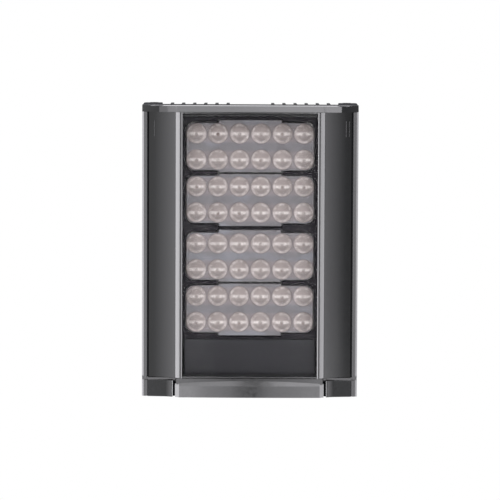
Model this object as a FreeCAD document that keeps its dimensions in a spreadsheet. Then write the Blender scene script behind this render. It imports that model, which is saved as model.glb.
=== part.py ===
# Infrared illuminator: a finned aluminium head with four lens arrays, tilting on a wall yoke.
# Millimetres. +X is to the right of someone who faces the window, +Y runs back to the wall, +Z is up.
# The origin is on the wall face, at the height of the tilt pivot, which is half way up the head.
import FreeCAD, Part
import math
import os
import Sketcher

V = FreeCAD.Vector

# How far a quarter circle of radius 1 rises above its chord
QUARTER_RISE = 1 - math.sqrt(0.5)

# Two places closer than this are the same place
SAME = 1e-6

# Proportions of screw heads, nuts and washers, as multiples of the screw's radius
HEAD_RATIO = 1.6
HEAD_RISE_RATIO = 1.3
NUT_RATIO = 1.6
WASHER_RATIO = 2.0
WASHER_RISE_RATIO = 0.4

DOC = FreeCAD.newDocument("infrared_illuminator")

# Driving dimensions. Each one is a size that a designer could set by itself.
SIZES = {
    # Yoke and pivot
    "wall_to_pivot": 65.0,
    "pivot_to_fins": 14.0,
    "yoke_thickness": 3.0,
    "yoke_height": 110.0,
    "yoke_bend": 3.0,
    "arm_root_height": 60.0,
    "arm_end_radius": 12.0,
    "wall_hole_spacing": 84.0,
    "wall_hole_radius": 3.3,
    "centre_hole_radius": 4.3,
    "tilt_limit": 35.0,
    "lock_radius": 20.0,
    "pivot_bolt_radius": 4.0,
    "lock_screw_radius": 3.0,
    "pivot_play": 0.06,
    "face_play": 0.2,
    "slot_play": 0.4,
    "slot_overrun": 2.0,
    # Pivot block and its T-slot
    "ear_width": 24.0,
    "ear_end_radius": 9.0,
    "ear_waist_radius": 11.0,
    "block_flange": 6.0,
    "block_width": 30.0,
    "block_height": 62.0,
    "block_screw_spacing": 47.0,
    "block_screw_radius": 3.0,
    "slot_mouth": 14.0,
    "slot_width": 24.0,
    "slot_depth": 4.2,
    "slot_lip": 3.0,
    "slot_fit": 0.2,
    # Finned housing
    "skin_inset": 1.5,
    "fin_depth": 34.0,
    "fin_root": 3.2,
    "fin_tip": 2.4,
    "fin_pitch": 9.4,
    "fin_count": 6.0,
    "fin_set_back": 0.4,
    "channel_pitch": 37.6,
    "back_plate": 5.0,
    "cavity_depth": 12.2,
    "side_wall": 3.0,
    "side_block": 14.5,
    "port_radius": 1.7,
    "port_inset": 7.2,
    "port_front": 5.0,
    "port_rear": 6.0,
    "port_wall": 4.0,
    "chamber_wall": 2.8,
    # End caps
    "top_cap": 5.5,
    "bottom_cap": 6.0,
    "cap_gasket": 1.0,
    "corner_width": 15.0,
    "cap_rear_inset": 2.5,
    "top_lip": 2.6,
    "bottom_lip": 6.0,
    "cap_lip_wall": 4.0,
    "cap_edge": 0.9,
    "cap_screw_head": 3.6,
    "cap_screw_recess": 2.4,
    "cap_screw_length": 16.0,
    "fit_gap": 0.3,
    # Front moulding
    "fascia_gasket": 0.8,
    "fascia_depth": 14.0,
    "corner_sweep": 10.0,
    "corner_bulge": 1.3,
    "flange": 1.5,
    "flange_inset": 2.0,
    "window_margin": 2.5,
    "rail_width": 5.9,
    "rail_step": 3.5,
    "rail_lip": 1.5,
    "rail_flat": 1.6,
    "wing_width": 23.4,
    "rail_backing": 1.0,
    "wing_sag": 1.8,
    "rim_width": 4.7,
    "rim_step": 2.5,
    "rim_edge": 1.2,
    "wing_wall": 2.1,
    "rebate_step": 5.0,
    "rebate_wall": 2.4,
    "wing_hollow": 10.6,
    "insert_thickness": 2.0,
    "insert_overlap": 2.3,
    "ledge": 1.8,
    "window_gasket": 0.6,
    "pane_thickness": 3.0,
    "end_wall": 1.2,
    "grip_height": 13.5,
    "grip_width": 0.9,
    "grip_set_back": 0.7,
    "grip_root": 2.6,
    "grip_inset": 10.4,
    "grip_drop": 7.0,
    "grip_spacing": 2.6,
    # Bottom trim
    "trim_height": 13.9,
    "trim_ledge": 1.8,
    "trim_ledge_step": 2.4,
    "trim_wall": 2.5,
    "trim_groove": 2.5,
    "trim_groove_depth": 1.6,
    "trim_turn": 5.0,
    "trim_turn_drop": 1.6,
    "trim_lug": 14.0,
    "trim_lug_thickness": 3.0,
    "trim_screw_head": 3.0,
    "trim_screw_recess": 1.6,
    "trim_lug_place": 60.0,
    "trim_screw_radius": 1.7,
    # Lens arrays, boards and emitters
    "lens_pitch": 17.95,
    "lens_columns": 6.0,
    "row_pitch": 21.7,
    "array_gap": 4.4,
    "pair_gap": 3.4,
    "array_side_edge": 0.275,
    "array_end_edge": 0.7,
    "array_corner": 7.0,
    "array_plate": 2.0,
    "dome_radius": 8.35,
    "dome_height": 3.4,
    "dome_flat": 0.5,
    "cone_tip_radius": 3.2,
    "emitter_gap": 0.4,
    "leg_radius": 1.5,
    "leg_length": 8.4,
    "tab_width": 52.5,
    "outer_tab": 2.5,
    "inner_tab": 1.4,
    "thermal_pad": 0.5,
    "board_thickness": 1.6,
    "board_side_edge": 0.5,
    "board_gap": 2.2,
    "board_screw_inset_x": 3.5,
    "board_screw_inset_z": 3.0,
    "emitter_width": 3.5,
    "emitter_height": 1.9,
    "small_screw_radius": 1.5,
    "small_screw_head": 2.75,
    "small_screw_head_height": 1.8,
    "small_screw_bite": 3.5,
    # Carrier and driver cover
    "carrier_side": 7.5,
    "carrier_edge": 5.0,
    "carrier_plate": 4.0,
    "carrier_gap": 0.8,
    "post_radius": 2.6,
    "post_side_inset": 3.0,
    "post_end_inset": 3.5,
    "cover_side_gap": 0.8,
    "cover_bottom": 17.8,
    "cover_height": 29.2,
    "cover_gap": 1.1,
    "cover_plate": 2.0,
    "cover_corner": 3.0,
    "cover_post_inset": 4.2,
    # Driver electronics
    "driver_inner": 15.0,
    "driver_outer": 47.0,
    "driver_inset_low": 2.2,
    "driver_inset_high": 1.7,
    "standoff": 2.5,
    "standoff_radius": 2.4,
    "inductor_width": 9.0,
    "inductor_height": 4.5,
    "inductor_spacing": 12.0,
    "capacitor_radius": 3.15,
    "capacitor_height": 5.4,
    "capacitor_spacing": 8.5,
    "terminal_width": 20.0,
    "terminal_depth": 9.0,
    "terminal_height": 6.2,
    # Cable gland
    "gland_height": 36.0,
    "gland_recess": 14.0,
    "gland_thread": 8.0,
    "gland_thread_play": 0.1,
    "gland_hex": 11.5,
    "gland_flange": 5.0,
    "gland_neck": 8.4,
    "gland_neck_length": 8.0,
    "gland_bore": 5.0,
    "gland_cap_length": 14.0,
    "gland_cap_wall": 1.8,
    "gland_seal_bore": 2.75,
    "gland_seal_length": 10.0,
    "gland_washer": 1.2,
    "locknut": 3.5,
}


class Tied:
    """A number together with the spreadsheet formula that it comes from."""

    def __init__(self, value, formula):
        self.value = value
        self.formula = formula

    @staticmethod
    def of(number):
        return number if isinstance(number, Tied) else Tied(float(number), repr(float(number)))

    def joined(self, other, sign, value):
        return Tied(value, "(%s %s %s)" % (self.formula, sign, Tied.of(other).formula))

    def __add__(self, other):
        return self.joined(other, "+", self.value + Tied.of(other).value)

    def __sub__(self, other):
        return self.joined(other, "-", self.value - Tied.of(other).value)

    def __mul__(self, other):
        return self.joined(other, "*", self.value * Tied.of(other).value)

    def __truediv__(self, other):
        return self.joined(other, "/", self.value / Tied.of(other).value)

    def __neg__(self):
        return Tied.of(0) - self

    __radd__ = __add__
    __rmul__ = __mul__

    def __rsub__(self, other):
        return Tied.of(other) - self

    def root(self):
        return Tied(math.sqrt(self.value), "sqrt(%s)" % self.formula)


class Sheet:
    """The driving dimensions as attributes, each tied to its spreadsheet cell."""


def make_sheet():
    cells = DOC.addObject("Spreadsheet::Sheet", "Sizes")
    sheet = Sheet()
    for row, (name, number) in enumerate(SIZES.items(), start=1):
        cells.set("A%d" % row, name)
        cells.set("B%d" % row, str(number))
        cells.setAlias("B%d" % row, name)
        setattr(sheet, name, Tied(number, "Sizes." + name))
    DOC.recompute()
    return sheet


s = make_sheet()
NODES = []


def bind(obj, prop, rule):
    obj.setExpression(prop, Tied.of(rule).formula)


def place(obj, x=0, y=0, z=0):
    for axis, rule in zip("xyz", (x, y, z)):
        bind(obj, "Placement.Base." + axis, rule)


def new_body(label, x=0, y=0, z=0):
    """A sub-part whose own origin is placed at x, y, z."""
    body = DOC.addObject("PartDesign::Body", label)
    body.Label = label
    place(body, x, y, z)
    NODES.append(body)
    return body


def origin_feature(body, role):
    return [item for item in body.Origin.OriginFeatures if item.Role == role][0]


def new_sketch(body, role, name, offset=0):
    """A sketch on one of the body's origin planes, moved along the plane's normal."""
    sketch = body.newObject("Sketcher::SketchObject", name)
    sketch.AttachmentSupport = (origin_feature(body, role), [""])
    sketch.MapMode = "FlatFace"
    bind(sketch, "AttachmentOffset.Base.z", offset)
    return sketch


def fix_point(sketch, item, corner, x, y):
    for kind, rule in (("DistanceX", x), ("DistanceY", y)):
        rule = Tied.of(rule)
        index = sketch.addConstraint(Sketcher.Constraint(kind, -1, 1, item, corner, rule.value))
        sketch.setExpression("Constraints[%d]" % index, rule.formula)


def outline(sketch, points, bulges=None):
    """A closed outline. bulges gives the rise of the arc that leaves a corner, positive to the right."""
    bulges = bulges or {}
    spots = [(Tied.of(x), Tied.of(y)) for x, y in points]
    count = len(spots)
    ends = []
    first = sketch.GeometryCount
    for i in range(count):
        start, stop = spots[i], spots[(i + 1) % count]
        a = V(start[0].value, start[1].value, 0)
        b = V(stop[0].value, stop[1].value, 0)
        if i in bulges:
            rise = Tied.of(bulges[i])
            side = (b - a).cross(V(0, 0, 1)).normalize()
            middle = (a + b) * 0.5 + side * rise.value
            outward = rise.value > 0
            arc = Part.Arc(a, middle, b) if outward else Part.Arc(b, middle, a)
            sketch.addGeometry(arc, False)
            ends.append((1, 2) if outward else (2, 1))
        else:
            sketch.addGeometry(Part.LineSegment(a, b), False)
            ends.append((1, 2))
    for i in range(count):
        follower = (i + 1) % count
        pair = (first + i, ends[i][1], first + follower, ends[follower][0])
        sketch.addConstraint(Sketcher.Constraint("Coincident", *pair))
        fix_point(sketch, first + i, ends[i][0], *spots[i])
    for i, rise in bulges.items():
        (ax, ay), (bx, by) = spots[i], spots[(i + 1) % count]
        rise = Tied.of(rise)
        rise = -rise if rise.value < 0 else rise
        chord = (bx - ax) * (bx - ax) + (by - ay) * (by - ay)
        radius = (chord / 4 + rise * rise) / (rise * 2)
        index = sketch.addConstraint(Sketcher.Constraint("Radius", first + i, radius.value))
        sketch.setExpression("Constraints[%d]" % index, radius.formula)


def circle(sketch, x, y, radius):
    x, y, radius = Tied.of(x), Tied.of(y), Tied.of(radius)
    item = sketch.addGeometry(Part.Circle(V(x.value, y.value, 0), V(0, 0, 1), radius.value), False)
    index = sketch.addConstraint(Sketcher.Constraint("Radius", item, radius.value))
    sketch.setExpression("Constraints[%d]" % index, radius.formula)
    fix_point(sketch, item, 3, x, y)


def rectangle(sketch, x0, y0, x1, y1):
    outline(sketch, [(x0, y0), (x1, y0), (x1, y1), (x0, y1)])


def soft_rectangle(sketch, x, y, width, height, corner):
    """A rectangle about x, y with round corners."""
    x, y, dx, dy, r = Tied.of(x), Tied.of(y), Tied.of(width) / 2, Tied.of(height) / 2, Tied.of(corner)
    rise = r * QUARTER_RISE
    points = [(x - dx + r, y - dy), (x + dx - r, y - dy), (x + dx, y - dy + r), (x + dx, y + dy - r),
              (x + dx - r, y + dy), (x - dx + r, y + dy), (x - dx, y + dy - r), (x - dx, y - dy + r)]
    outline(sketch, points, {1: rise, 3: rise, 5: rise, 7: rise})


def hexagon(sketch, x, y, radius):
    turns = [math.radians(60 * step) for step in range(6)]
    radius = Tied.of(radius)
    outline(sketch, [(x + radius * math.cos(turn), y + radius * math.sin(turn)) for turn in turns])


def mirrored_points(half):
    """A right-hand half outline, followed by its left-hand image in the reverse order."""
    return half + [(-Tied.of(x), y) for x, y in reversed(half)]


def solid_feature(body, kind, name, sketch, length, backwards=False):
    before = body.Shape.Volume if body.Tip else 0.0
    feature = body.newObject("PartDesign::" + kind, name)
    feature.Profile = sketch
    bind(feature, "Length", length)
    feature.Reversed = backwards
    DOC.recompute()
    grown = body.Shape.Volume - before
    if (grown > 0) != (kind == "Pad") or abs(grown) < SAME:
        raise RuntimeError("%s of %s changes nothing" % (name, body.Label))
    return feature


def pad(body, sketch, length, name, backwards=False):
    return solid_feature(body, "Pad", name, sketch, length, backwards)


def pocket(body, sketch, length, name, backwards=False):
    return solid_feature(body, "Pocket", name, sketch, length, backwards)


def revolve(body, sketch, name, axis="V_Axis"):
    feature = body.newObject("PartDesign::Revolution", name)
    feature.Profile = sketch
    feature.ReferenceAxis = (sketch, [axis])
    feature.Angle = 360
    DOC.recompute()
    return feature


def step_along(body, role, count, pitch, name):
    """One transformation: copies at a pitch along an origin axis."""
    item = DOC.addObject("PartDesign::LinearPattern", name)
    body.addObject(item)
    item.Direction = (origin_feature(body, role), [""])
    item.Reversed = pitch.value < 0
    span = (count - 1) * pitch
    bind(item, "Length", -span if pitch.value < 0 else span)
    bind(item, "Occurrences", count)
    return item


def repeat(body, features, moves, name):
    """The features repeated by each transformation in turn."""
    item = body.newObject("PartDesign::MultiTransform", name)
    item.Originals = features
    item.Transformations = moves
    body.Tip = item
    DOC.recompute()
    return item


def soften(body, base, radius, wanted, name, kind="Fillet"):
    """Rounds or chamfers the edges of the base feature for which wanted(edge) is true."""
    names = ["Edge%d" % (i + 1) for i, edge in enumerate(base.Shape.Edges) if wanted(edge)]
    if not names:
        raise RuntimeError("%s finds no edge" % name)
    item = body.newObject("PartDesign::" + kind, name)
    item.Base = (base, names)
    bind(item, "Radius" if kind == "Fillet" else "Size", radius)
    DOC.recompute()
    return item


def upright_at(x, y):
    """Picks the edges that stand along Z at x, y in the body's own frame."""
    def wanted(edge):
        box = edge.BoundBox
        middle = edge.CenterOfMass
        upright = box.XLength < SAME and box.YLength < SAME
        return upright and abs(abs(middle.x) - x.value) < SAME and abs(middle.y - y.value) < SAME
    return wanted


# The arrays set the size of the window, and the window that of the head
array_width = s.lens_pitch * (s.lens_columns - 1) + (s.dome_radius + s.array_side_edge) * 2
array_height = s.row_pitch + (s.dome_radius + s.array_end_edge) * 2
array_pitch = array_height + s.array_gap
pair_pitch = array_pitch * 2 + s.pair_gap
board_width = array_width + s.board_side_edge * 2
board_height = pair_pitch - s.board_gap
window_half = array_width / 2 + s.window_margin
rail_x = window_half + s.rail_width
rim_x = rail_x + s.wing_width
head_half = rim_x + s.rim_width

# Levels behind and in front of the wall face, in order from the wall to the window
pivot_y = -s.wall_to_pivot
tips_y = pivot_y - s.pivot_to_fins
plate_y = tips_y - s.fin_depth
floor_y = plate_y - s.back_plate
mouth_y = floor_y - s.cavity_depth
flange_y = mouth_y - s.fascia_gasket
crest_y = flange_y - s.fascia_depth
rim_y = crest_y + s.corner_sweep
board_y = floor_y - s.thermal_pad
emitter_y = board_y - s.board_thickness
array_y = emitter_y - s.leg_length
lip_y = plate_y + s.slot_depth + s.slot_lip

# Heights. What the head holds, from the lid down to the trim, makes up its height.
carrier_height = pair_pitch + array_pitch + array_height + s.carrier_edge * 2
above_carrier = s.top_cap + s.cap_gasket + s.top_lip + s.carrier_gap
below_carrier = s.cover_gap + s.cover_height + s.cover_bottom
head_height = above_carrier + carrier_height + below_carrier
bottom_z = -(head_height / 2)
top_z = head_height / 2
carrier_low_z = bottom_z + below_carrier
carrier_high_z = top_z - above_carrier
cover_low_z = bottom_z + s.cover_bottom
cover_high_z = cover_low_z + s.cover_height
driver_low_z = cover_low_z + s.driver_inset_low
driver_high_z = cover_high_z - s.driver_inset_high
shell_bottom_z = bottom_z + s.bottom_cap + s.cap_gasket
shell_top_z = top_z - s.top_cap - s.cap_gasket
shell_length = shell_top_z - shell_bottom_z
fin_low_z = bottom_z + s.fin_set_back
fin_high_z = top_z - s.fin_set_back
fascia_bottom_z = bottom_z + s.trim_height + s.trim_ledge + s.fit_gap
fascia_top_z = top_z - s.top_cap - s.fit_gap
trim_back_y = flange_y - s.flange - s.fit_gap
field_z = (carrier_low_z + carrier_high_z) / 2

# Widths, from the middle
skin_x = head_half - s.skin_inset
cavity_x = skin_x - s.side_wall
block_x = skin_x - s.side_block
carrier_x = array_width / 2 + s.carrier_side
port_x = skin_x - s.port_inset
port_front_y = plate_y + s.port_front
port_rear_y = tips_y - s.port_rear


def shell_corners():
    """The housing's corners outside the T-slot, right-hand half, from the rear to the cavity floor."""
    return [(block_x, plate_y), (block_x, tips_y), (skin_x, tips_y), (skin_x, mouth_y),
            (cavity_x, mouth_y), (cavity_x, floor_y)]


def seal_corners():
    """The same corners for a seal, which ends a little in front of the fins."""
    end_y = plate_y - s.fit_gap
    side_x = block_x + s.fit_gap
    return [(side_x, end_y), (side_x, tips_y)] + shell_corners()[2:]


def make_housing():
    """One extrusion: back plate, side walls, hollow side blocks, T-slot and fins.

    Both ends are milled down in front of the fins and at the side blocks, where the caps sit.
    """
    body = new_body("heatsink_housing", z=shell_bottom_z)
    section = new_sketch(body, "XY_Plane", "ShellSection")
    slot = [(s.slot_width / 2, plate_y), (s.slot_width / 2, lip_y - s.slot_lip),
            (s.slot_mouth / 2, lip_y - s.slot_lip), (s.slot_mouth / 2, lip_y),
            (s.channel_pitch / 2 - s.fin_root / 2, lip_y), (s.channel_pitch / 2 - s.fin_root / 2, plate_y)]
    outline(section, mirrored_points(slot + shell_corners()))
    for side in (-1, 1):
        for y in (port_front_y, port_rear_y):
            circle(section, port_x * side, y, s.port_radius)
        inner = (block_x + s.chamber_wall) * side
        outer = (skin_x - s.chamber_wall) * side
        rectangle(section, inner, port_front_y + s.port_wall, outer, port_rear_y - s.port_wall)
    shell = pad(body, section, shell_length, "Shell")
    soften(body, shell, s.chamber_wall, upright_at(skin_x, tips_y), "RearCorners")
    for side, word in ((1, "Right"), (-1, "Left")):
        profile = new_sketch(body, "XY_Plane", word + "FinSection", fin_low_z - shell_bottom_z)
        middle = s.channel_pitch / 2 * side
        outline(profile, [(middle - s.fin_root / 2, plate_y), (middle + s.fin_root / 2, plate_y),
                          (middle + s.fin_tip / 2, tips_y), (middle - s.fin_tip / 2, tips_y)])
        fin = pad(body, profile, fin_high_z - fin_low_z, word + "Fin")
        pattern = step_along(body, "X_Axis", s.fin_count, s.fin_pitch * side, word + "FinPattern")
        pattern.Originals = [fin]
        body.Tip = pattern
        DOC.recompute()
    recess = new_sketch(body, "XZ_Plane", "GlandRecessCircle", -lip_y)
    gland_z = bottom_z + s.gland_height - shell_bottom_z
    circle(recess, 0, gland_z, s.gland_recess)
    pocket(body, recess, lip_y - plate_y, "GlandRecess", backwards=True)
    hole = new_sketch(body, "XZ_Plane", "GlandHoleCircle", -plate_y)
    circle(hole, 0, gland_z, s.gland_thread + s.gland_thread_play)
    pocket(body, hole, s.back_plate, "GlandHole", backwards=True)
    bores = new_sketch(body, "XZ_Plane", "FloorBoreCircles", -floor_y)
    for x, z in floor_screws():
        circle(bores, x, z - shell_bottom_z, s.small_screw_radius)
    pocket(body, bores, s.small_screw_bite + s.fit_gap, "FloorBores")


def board_screws(pair_z):
    reach_x = board_width / 2 - s.board_screw_inset_x
    reach_z = board_height / 2 - s.board_screw_inset_z
    return [(reach_x * i, pair_z + reach_z * k) for i in (-1, 1) for k in (-1, 1)]


def carrier_posts():
    reach_x = carrier_x - s.post_side_inset
    low = carrier_low_z + s.post_end_inset
    high = carrier_high_z - s.post_end_inset
    return [(reach_x * i, z) for i in (-1, 1) for z in (low, field_z, high)]


def driver_screws():
    reach_x = (s.driver_outer + s.driver_inner) / 2
    middle_z = (driver_high_z + driver_low_z) / 2
    step_x = (s.driver_outer - s.driver_inner) / 2 - s.standoff_radius
    step_z = (driver_high_z - driver_low_z) / 2 - s.standoff_radius
    return [((reach_x + step_x * k) * i, middle_z + step_z * k) for i in (-1, 1) for k in (-1, 1)]


def floor_screws():
    places = carrier_posts() + driver_screws()
    for pair in (-1, 1):
        places += board_screws(field_z + pair_pitch / 2 * pair)
    return places


def cap_screw_places(sketch, radius):
    for side in (-1, 1):
        for y in (port_front_y, port_rear_y):
            circle(sketch, port_x * side, y, radius)


def make_top_cap():
    """The lid over the cavity and the side blocks, with a convex front edge that crowns the moulding."""
    body = new_body("top_end_cap", z=top_z - s.top_cap)
    plan = new_sketch(body, "XY_Plane", "CapPlan")
    rear_y = tips_y - s.cap_rear_inset
    side_x = block_x + s.fit_gap
    half = [(side_x, plate_y - s.fit_gap), (side_x, rear_y), (head_half - s.cap_rear_inset, rear_y),
            (head_half, rear_y - s.cap_rear_inset), (head_half, rim_y),
            (head_half - s.corner_width, crest_y)]
    corners = mirrored_points(half)
    outline(plan, corners, {4: -s.corner_bulge, 6: -s.corner_bulge})
    cap = pad(body, plan, s.top_cap, "Cap")
    top = s.top_cap.value

    def on_top(edge):
        box = edge.BoundBox
        return abs(box.ZMin - top) < SAME and abs(box.ZMax - top) < SAME

    soften(body, cap, s.cap_edge, on_top, "TopEdge")
    neck = new_sketch(body, "XY_Plane", "NeckPlan")
    rectangle(neck, -(cavity_x - s.fit_gap), mouth_y, cavity_x - s.fit_gap, mouth_y + s.cap_lip_wall)
    pad(body, neck, s.cap_gasket + s.top_lip, "Lip", backwards=True)
    cap_bores(body, s.top_cap, s.top_cap)


def cap_bores(body, thickness, head_level, downward=True):
    """Clearance holes for the four port screws, with recesses for their heads."""
    through = new_sketch(body, "XY_Plane", "ScrewHoles", head_level)
    cap_screw_places(through, s.port_radius + s.fit_gap)
    pocket(body, through, thickness, "ScrewBores", backwards=not downward)
    seats = new_sketch(body, "XY_Plane", "ScrewSeats", head_level)
    cap_screw_places(seats, s.cap_screw_head + s.fit_gap)
    pocket(body, seats, s.cap_screw_recess, "ScrewRecesses", backwards=not downward)


def make_bottom_cap():
    """The lid under the cavity. The trim's two lugs are let into its underside."""
    body = new_body("bottom_end_cap", z=bottom_z)
    plan = new_sketch(body, "XY_Plane", "CapPlan")
    rear_y = tips_y - s.cap_rear_inset
    side_x = block_x + s.fit_gap
    half = [(side_x, plate_y - s.fit_gap), (side_x, rear_y), (skin_x - s.cap_rear_inset, rear_y),
            (skin_x, rear_y - s.cap_rear_inset), (skin_x, mouth_y)]
    outline(plan, mirrored_points(half))
    pad(body, plan, s.bottom_cap, "Cap")
    neck = new_sketch(body, "XY_Plane", "LipPlan", s.bottom_cap)
    rectangle(neck, -(cavity_x - s.fit_gap), mouth_y, cavity_x - s.fit_gap, mouth_y + s.cap_lip_wall)
    pad(body, neck, s.cap_gasket + s.bottom_lip, "Lip")
    cap_bores(body, s.bottom_cap, 0, downward=False)
    seats = new_sketch(body, "XY_Plane", "LugSeats")
    holes = new_sketch(body, "XY_Plane", "LugScrewHoles", s.trim_lug_thickness)
    for side in (-1, 1):
        middle = s.trim_lug_place * side
        reach = s.trim_lug / 2 + s.fit_gap
        rectangle(seats, middle - reach, mouth_y, middle + reach, mouth_y + s.trim_lug + s.fit_gap)
        circle(holes, middle, mouth_y + s.trim_lug / 2, s.trim_screw_radius)
    pocket(body, seats, s.trim_lug_thickness, "LugRecesses", backwards=True)
    pocket(body, holes, s.bottom_cap - s.trim_lug_thickness, "LugBores", backwards=True)


def make_cap_gasket(label, z):
    """A flat silicone seal with the plan of the extrusion's end."""
    body = new_body(label, z=z)
    plan = new_sketch(body, "XY_Plane", "SealPlan")
    outline(plan, mirrored_points(seal_corners()))
    cap_screw_places(plan, s.port_radius + s.fit_gap)
    pad(body, plan, s.cap_gasket, "Seal")


def turned(label, points, x=0, y=0, z=0, role="XY_Plane", axis="V_Axis", bulges=None):
    """A turned piece: a half section in the sketch plane, revolved about one of its axes."""
    body = new_body(label, x, y, z)
    section = new_sketch(body, role, "HalfSection")
    outline(section, points, bulges)
    revolve(body, section, "Turned", axis)
    return body


def screw_section(radius, length, head_radius, head_height):
    """Half section of a screw that points along -Y of its sketch, with its head seated on the X axis."""
    return [(0, -length), (radius, -length), (radius, 0), (head_radius, 0), (head_radius, head_height),
            (0, head_height)]


def make_screws(label, places, plane, points, level):
    """A set of like screws, one solid each, in a single sub-part."""
    base = DOC.addObject("Part::Feature", label)
    base.Label = label
    wire = Part.makePolygon([V(Tied.of(a).value, Tied.of(b).value, 0) for a, b in points + points[:1]])
    blank = Part.Face(wire).revolve(V(0, 0, 0), V(0, 1, 0), 360)
    turn = {"down": FreeCAD.Rotation(V(1, 0, 0), 90), "up": FreeCAD.Rotation(V(1, 0, 0), -90),
            "back": FreeCAD.Rotation(V(1, 0, 0), 180), "front": FreeCAD.Rotation()}[plane]
    solids = []
    for a, b in places:
        a, b, c = Tied.of(a).value, Tied.of(b).value, Tied.of(level).value
        spot = V(a, c, b) if plane in ("back", "front") else V(a, b, c)
        copy = blank.copy()
        copy.Placement = FreeCAD.Placement(spot, turn)
        solids.append(copy)
    base.Shape = Part.makeCompound(solids)
    base.Placement = FreeCAD.Placement()
    NODES.append(base)
    return base


def make_cap_screws():
    spots = [(port_x * side, y) for side in (-1, 1) for y in (port_front_y, port_rear_y)]
    for label, plane, level in (("top_cap_screws", "down", top_z - s.cap_screw_recess),
                                ("bottom_cap_screws", "up", bottom_z + s.cap_screw_recess)):
        section = screw_section(s.port_radius, s.cap_screw_length, s.cap_screw_head, s.cap_screw_recess)
        make_screws(label, spots, plane, section, level)


def wing_sections():
    """Right-hand section of the front moulding: rim, hollow wing, rail, insert slot and pane rebate."""
    slot_y = crest_y + s.rail_lip
    slot_back_y = slot_y + s.insert_thickness + s.fit_gap * 2
    ledge_y = slot_back_y + s.ledge
    slot_x = window_half + s.insert_overlap + s.fit_gap
    rebate_x = window_half + s.rebate_step
    wall_x = rebate_x + s.rebate_wall
    hollow_x = wall_x + s.wing_hollow
    hollow_top_y = crest_y + s.rail_step + s.wing_wall + s.rail_backing
    return [
        (window_half, crest_y), (window_half + s.rail_flat, crest_y), (rail_x, crest_y + s.rail_step),
        (rim_x, rim_y + s.rim_step), (rim_x, rim_y), (head_half, rim_y), (head_half, flange_y),
        (hollow_x, flange_y), (hollow_x, flange_y - s.wing_wall), (wall_x, hollow_top_y),
        (wall_x, flange_y), (rebate_x, flange_y), (rebate_x, ledge_y), (window_half, ledge_y),
        (window_half, slot_back_y), (slot_x, slot_back_y), (slot_x, slot_y), (window_half, slot_y)]


def make_fascia():
    """The glossy front moulding: outer rim, swept wings, raised rails, flange and end walls."""
    body = new_body("front_fascia", z=fascia_bottom_z)
    height = fascia_top_z - fascia_bottom_z
    half = wing_sections()
    for side, word in ((1, "Right"), (-1, "Left")):
        section = new_sketch(body, "XY_Plane", word + "WingSection")
        sag = -s.wing_sag if side > 0 else s.wing_sag
        outline(section, [(x * side, y) for x, y in half], {2: sag})
        pad(body, section, height, word + "Wing")
    flange = new_sketch(body, "XZ_Plane", "FlangeFrame", -flange_y)
    edge_x = head_half - s.flange_inset
    inner_x = carrier_x + s.fit_gap
    low_z = shell_bottom_z - fascia_bottom_z
    high_z = shell_top_z - fascia_bottom_z
    rectangle(flange, -edge_x, low_z, edge_x, high_z)
    rectangle(flange, -inner_x, low_z + s.bottom_lip, inner_x, high_z - s.top_lip)
    pad(body, flange, s.flange, "Flange")
    rebate_x = window_half + s.rebate_step
    for word, level in (("Top", height - s.end_wall), ("Bottom", 0)):
        wall = new_sketch(body, "XY_Plane", word + "WallPlan", level)
        front_y = crest_y + s.rail_lip + s.insert_thickness + s.fit_gap * 2
        rectangle(wall, -rebate_x - s.end_wall, front_y, rebate_x + s.end_wall, flange_y)
        pad(body, wall, s.end_wall, word + "Wall")
    soften(body, body.Tip, s.rim_edge, upright_at(head_half, rim_y), "RimEdges")
    make_grips(body, height)


def make_grips(body, height):
    """Short upright ribs moulded on the wings near the top, one on the left and two on the right."""
    plan = new_sketch(body, "XZ_Plane", "GripRibs", -(rim_y + s.grip_set_back))
    low = height - s.grip_drop - s.grip_height
    reach = head_half - s.grip_inset
    for x in (-reach, reach, reach + s.grip_spacing):
        rectangle(plan, x - s.grip_width / 2, low, x + s.grip_width / 2, low + s.grip_height)
    pad(body, plan, s.grip_root, "Grips", backwards=True)


def make_fascia_gasket():
    body = new_body("fascia_gasket", y=mouth_y)
    ring = new_sketch(body, "XZ_Plane", "SealRing")
    rectangle(ring, -(skin_x - s.fit_gap), shell_bottom_z, skin_x - s.fit_gap, shell_top_z)
    rectangle(ring, -cavity_x, shell_bottom_z + s.bottom_lip, cavity_x, shell_top_z - s.top_lip)
    pad(body, ring, s.fascia_gasket, "Seal")


def make_window():
    """The fixed clear pane with its bonding gasket, and the diffuser insert that slides in before it."""
    slot_back_y = crest_y + s.rail_lip + s.insert_thickness + s.fit_gap * 2
    ledge_y = slot_back_y + s.ledge
    pane_x = window_half + s.rebate_step - s.fit_gap
    low = fascia_bottom_z + s.end_wall + s.fit_gap
    high = fascia_top_z - s.end_wall - s.fit_gap
    gasket = new_body("window_gasket", y=ledge_y + s.window_gasket)
    ring = new_sketch(gasket, "XZ_Plane", "SealRing")
    rectangle(ring, -pane_x, low, pane_x, high)
    open_x = window_half + s.fit_gap
    rectangle(ring, -open_x, low + s.end_wall, open_x, high - s.end_wall)
    pad(gasket, ring, s.window_gasket, "Seal")
    pane = new_body("window_pane", y=ledge_y + s.window_gasket + s.pane_thickness)
    sheet = new_sketch(pane, "XZ_Plane", "PaneOutline")
    rectangle(sheet, -pane_x, low, pane_x, high)
    pad(pane, sheet, s.pane_thickness, "Pane")
    insert = new_body("diffuser_insert", y=slot_back_y - s.fit_gap)
    plate = new_sketch(insert, "XZ_Plane", "InsertOutline")
    reach = window_half + s.insert_overlap
    rectangle(plate, -reach, fascia_bottom_z, reach, fascia_top_z - s.fit_gap)
    pad(insert, plate, s.insert_thickness, "Insert")


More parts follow.
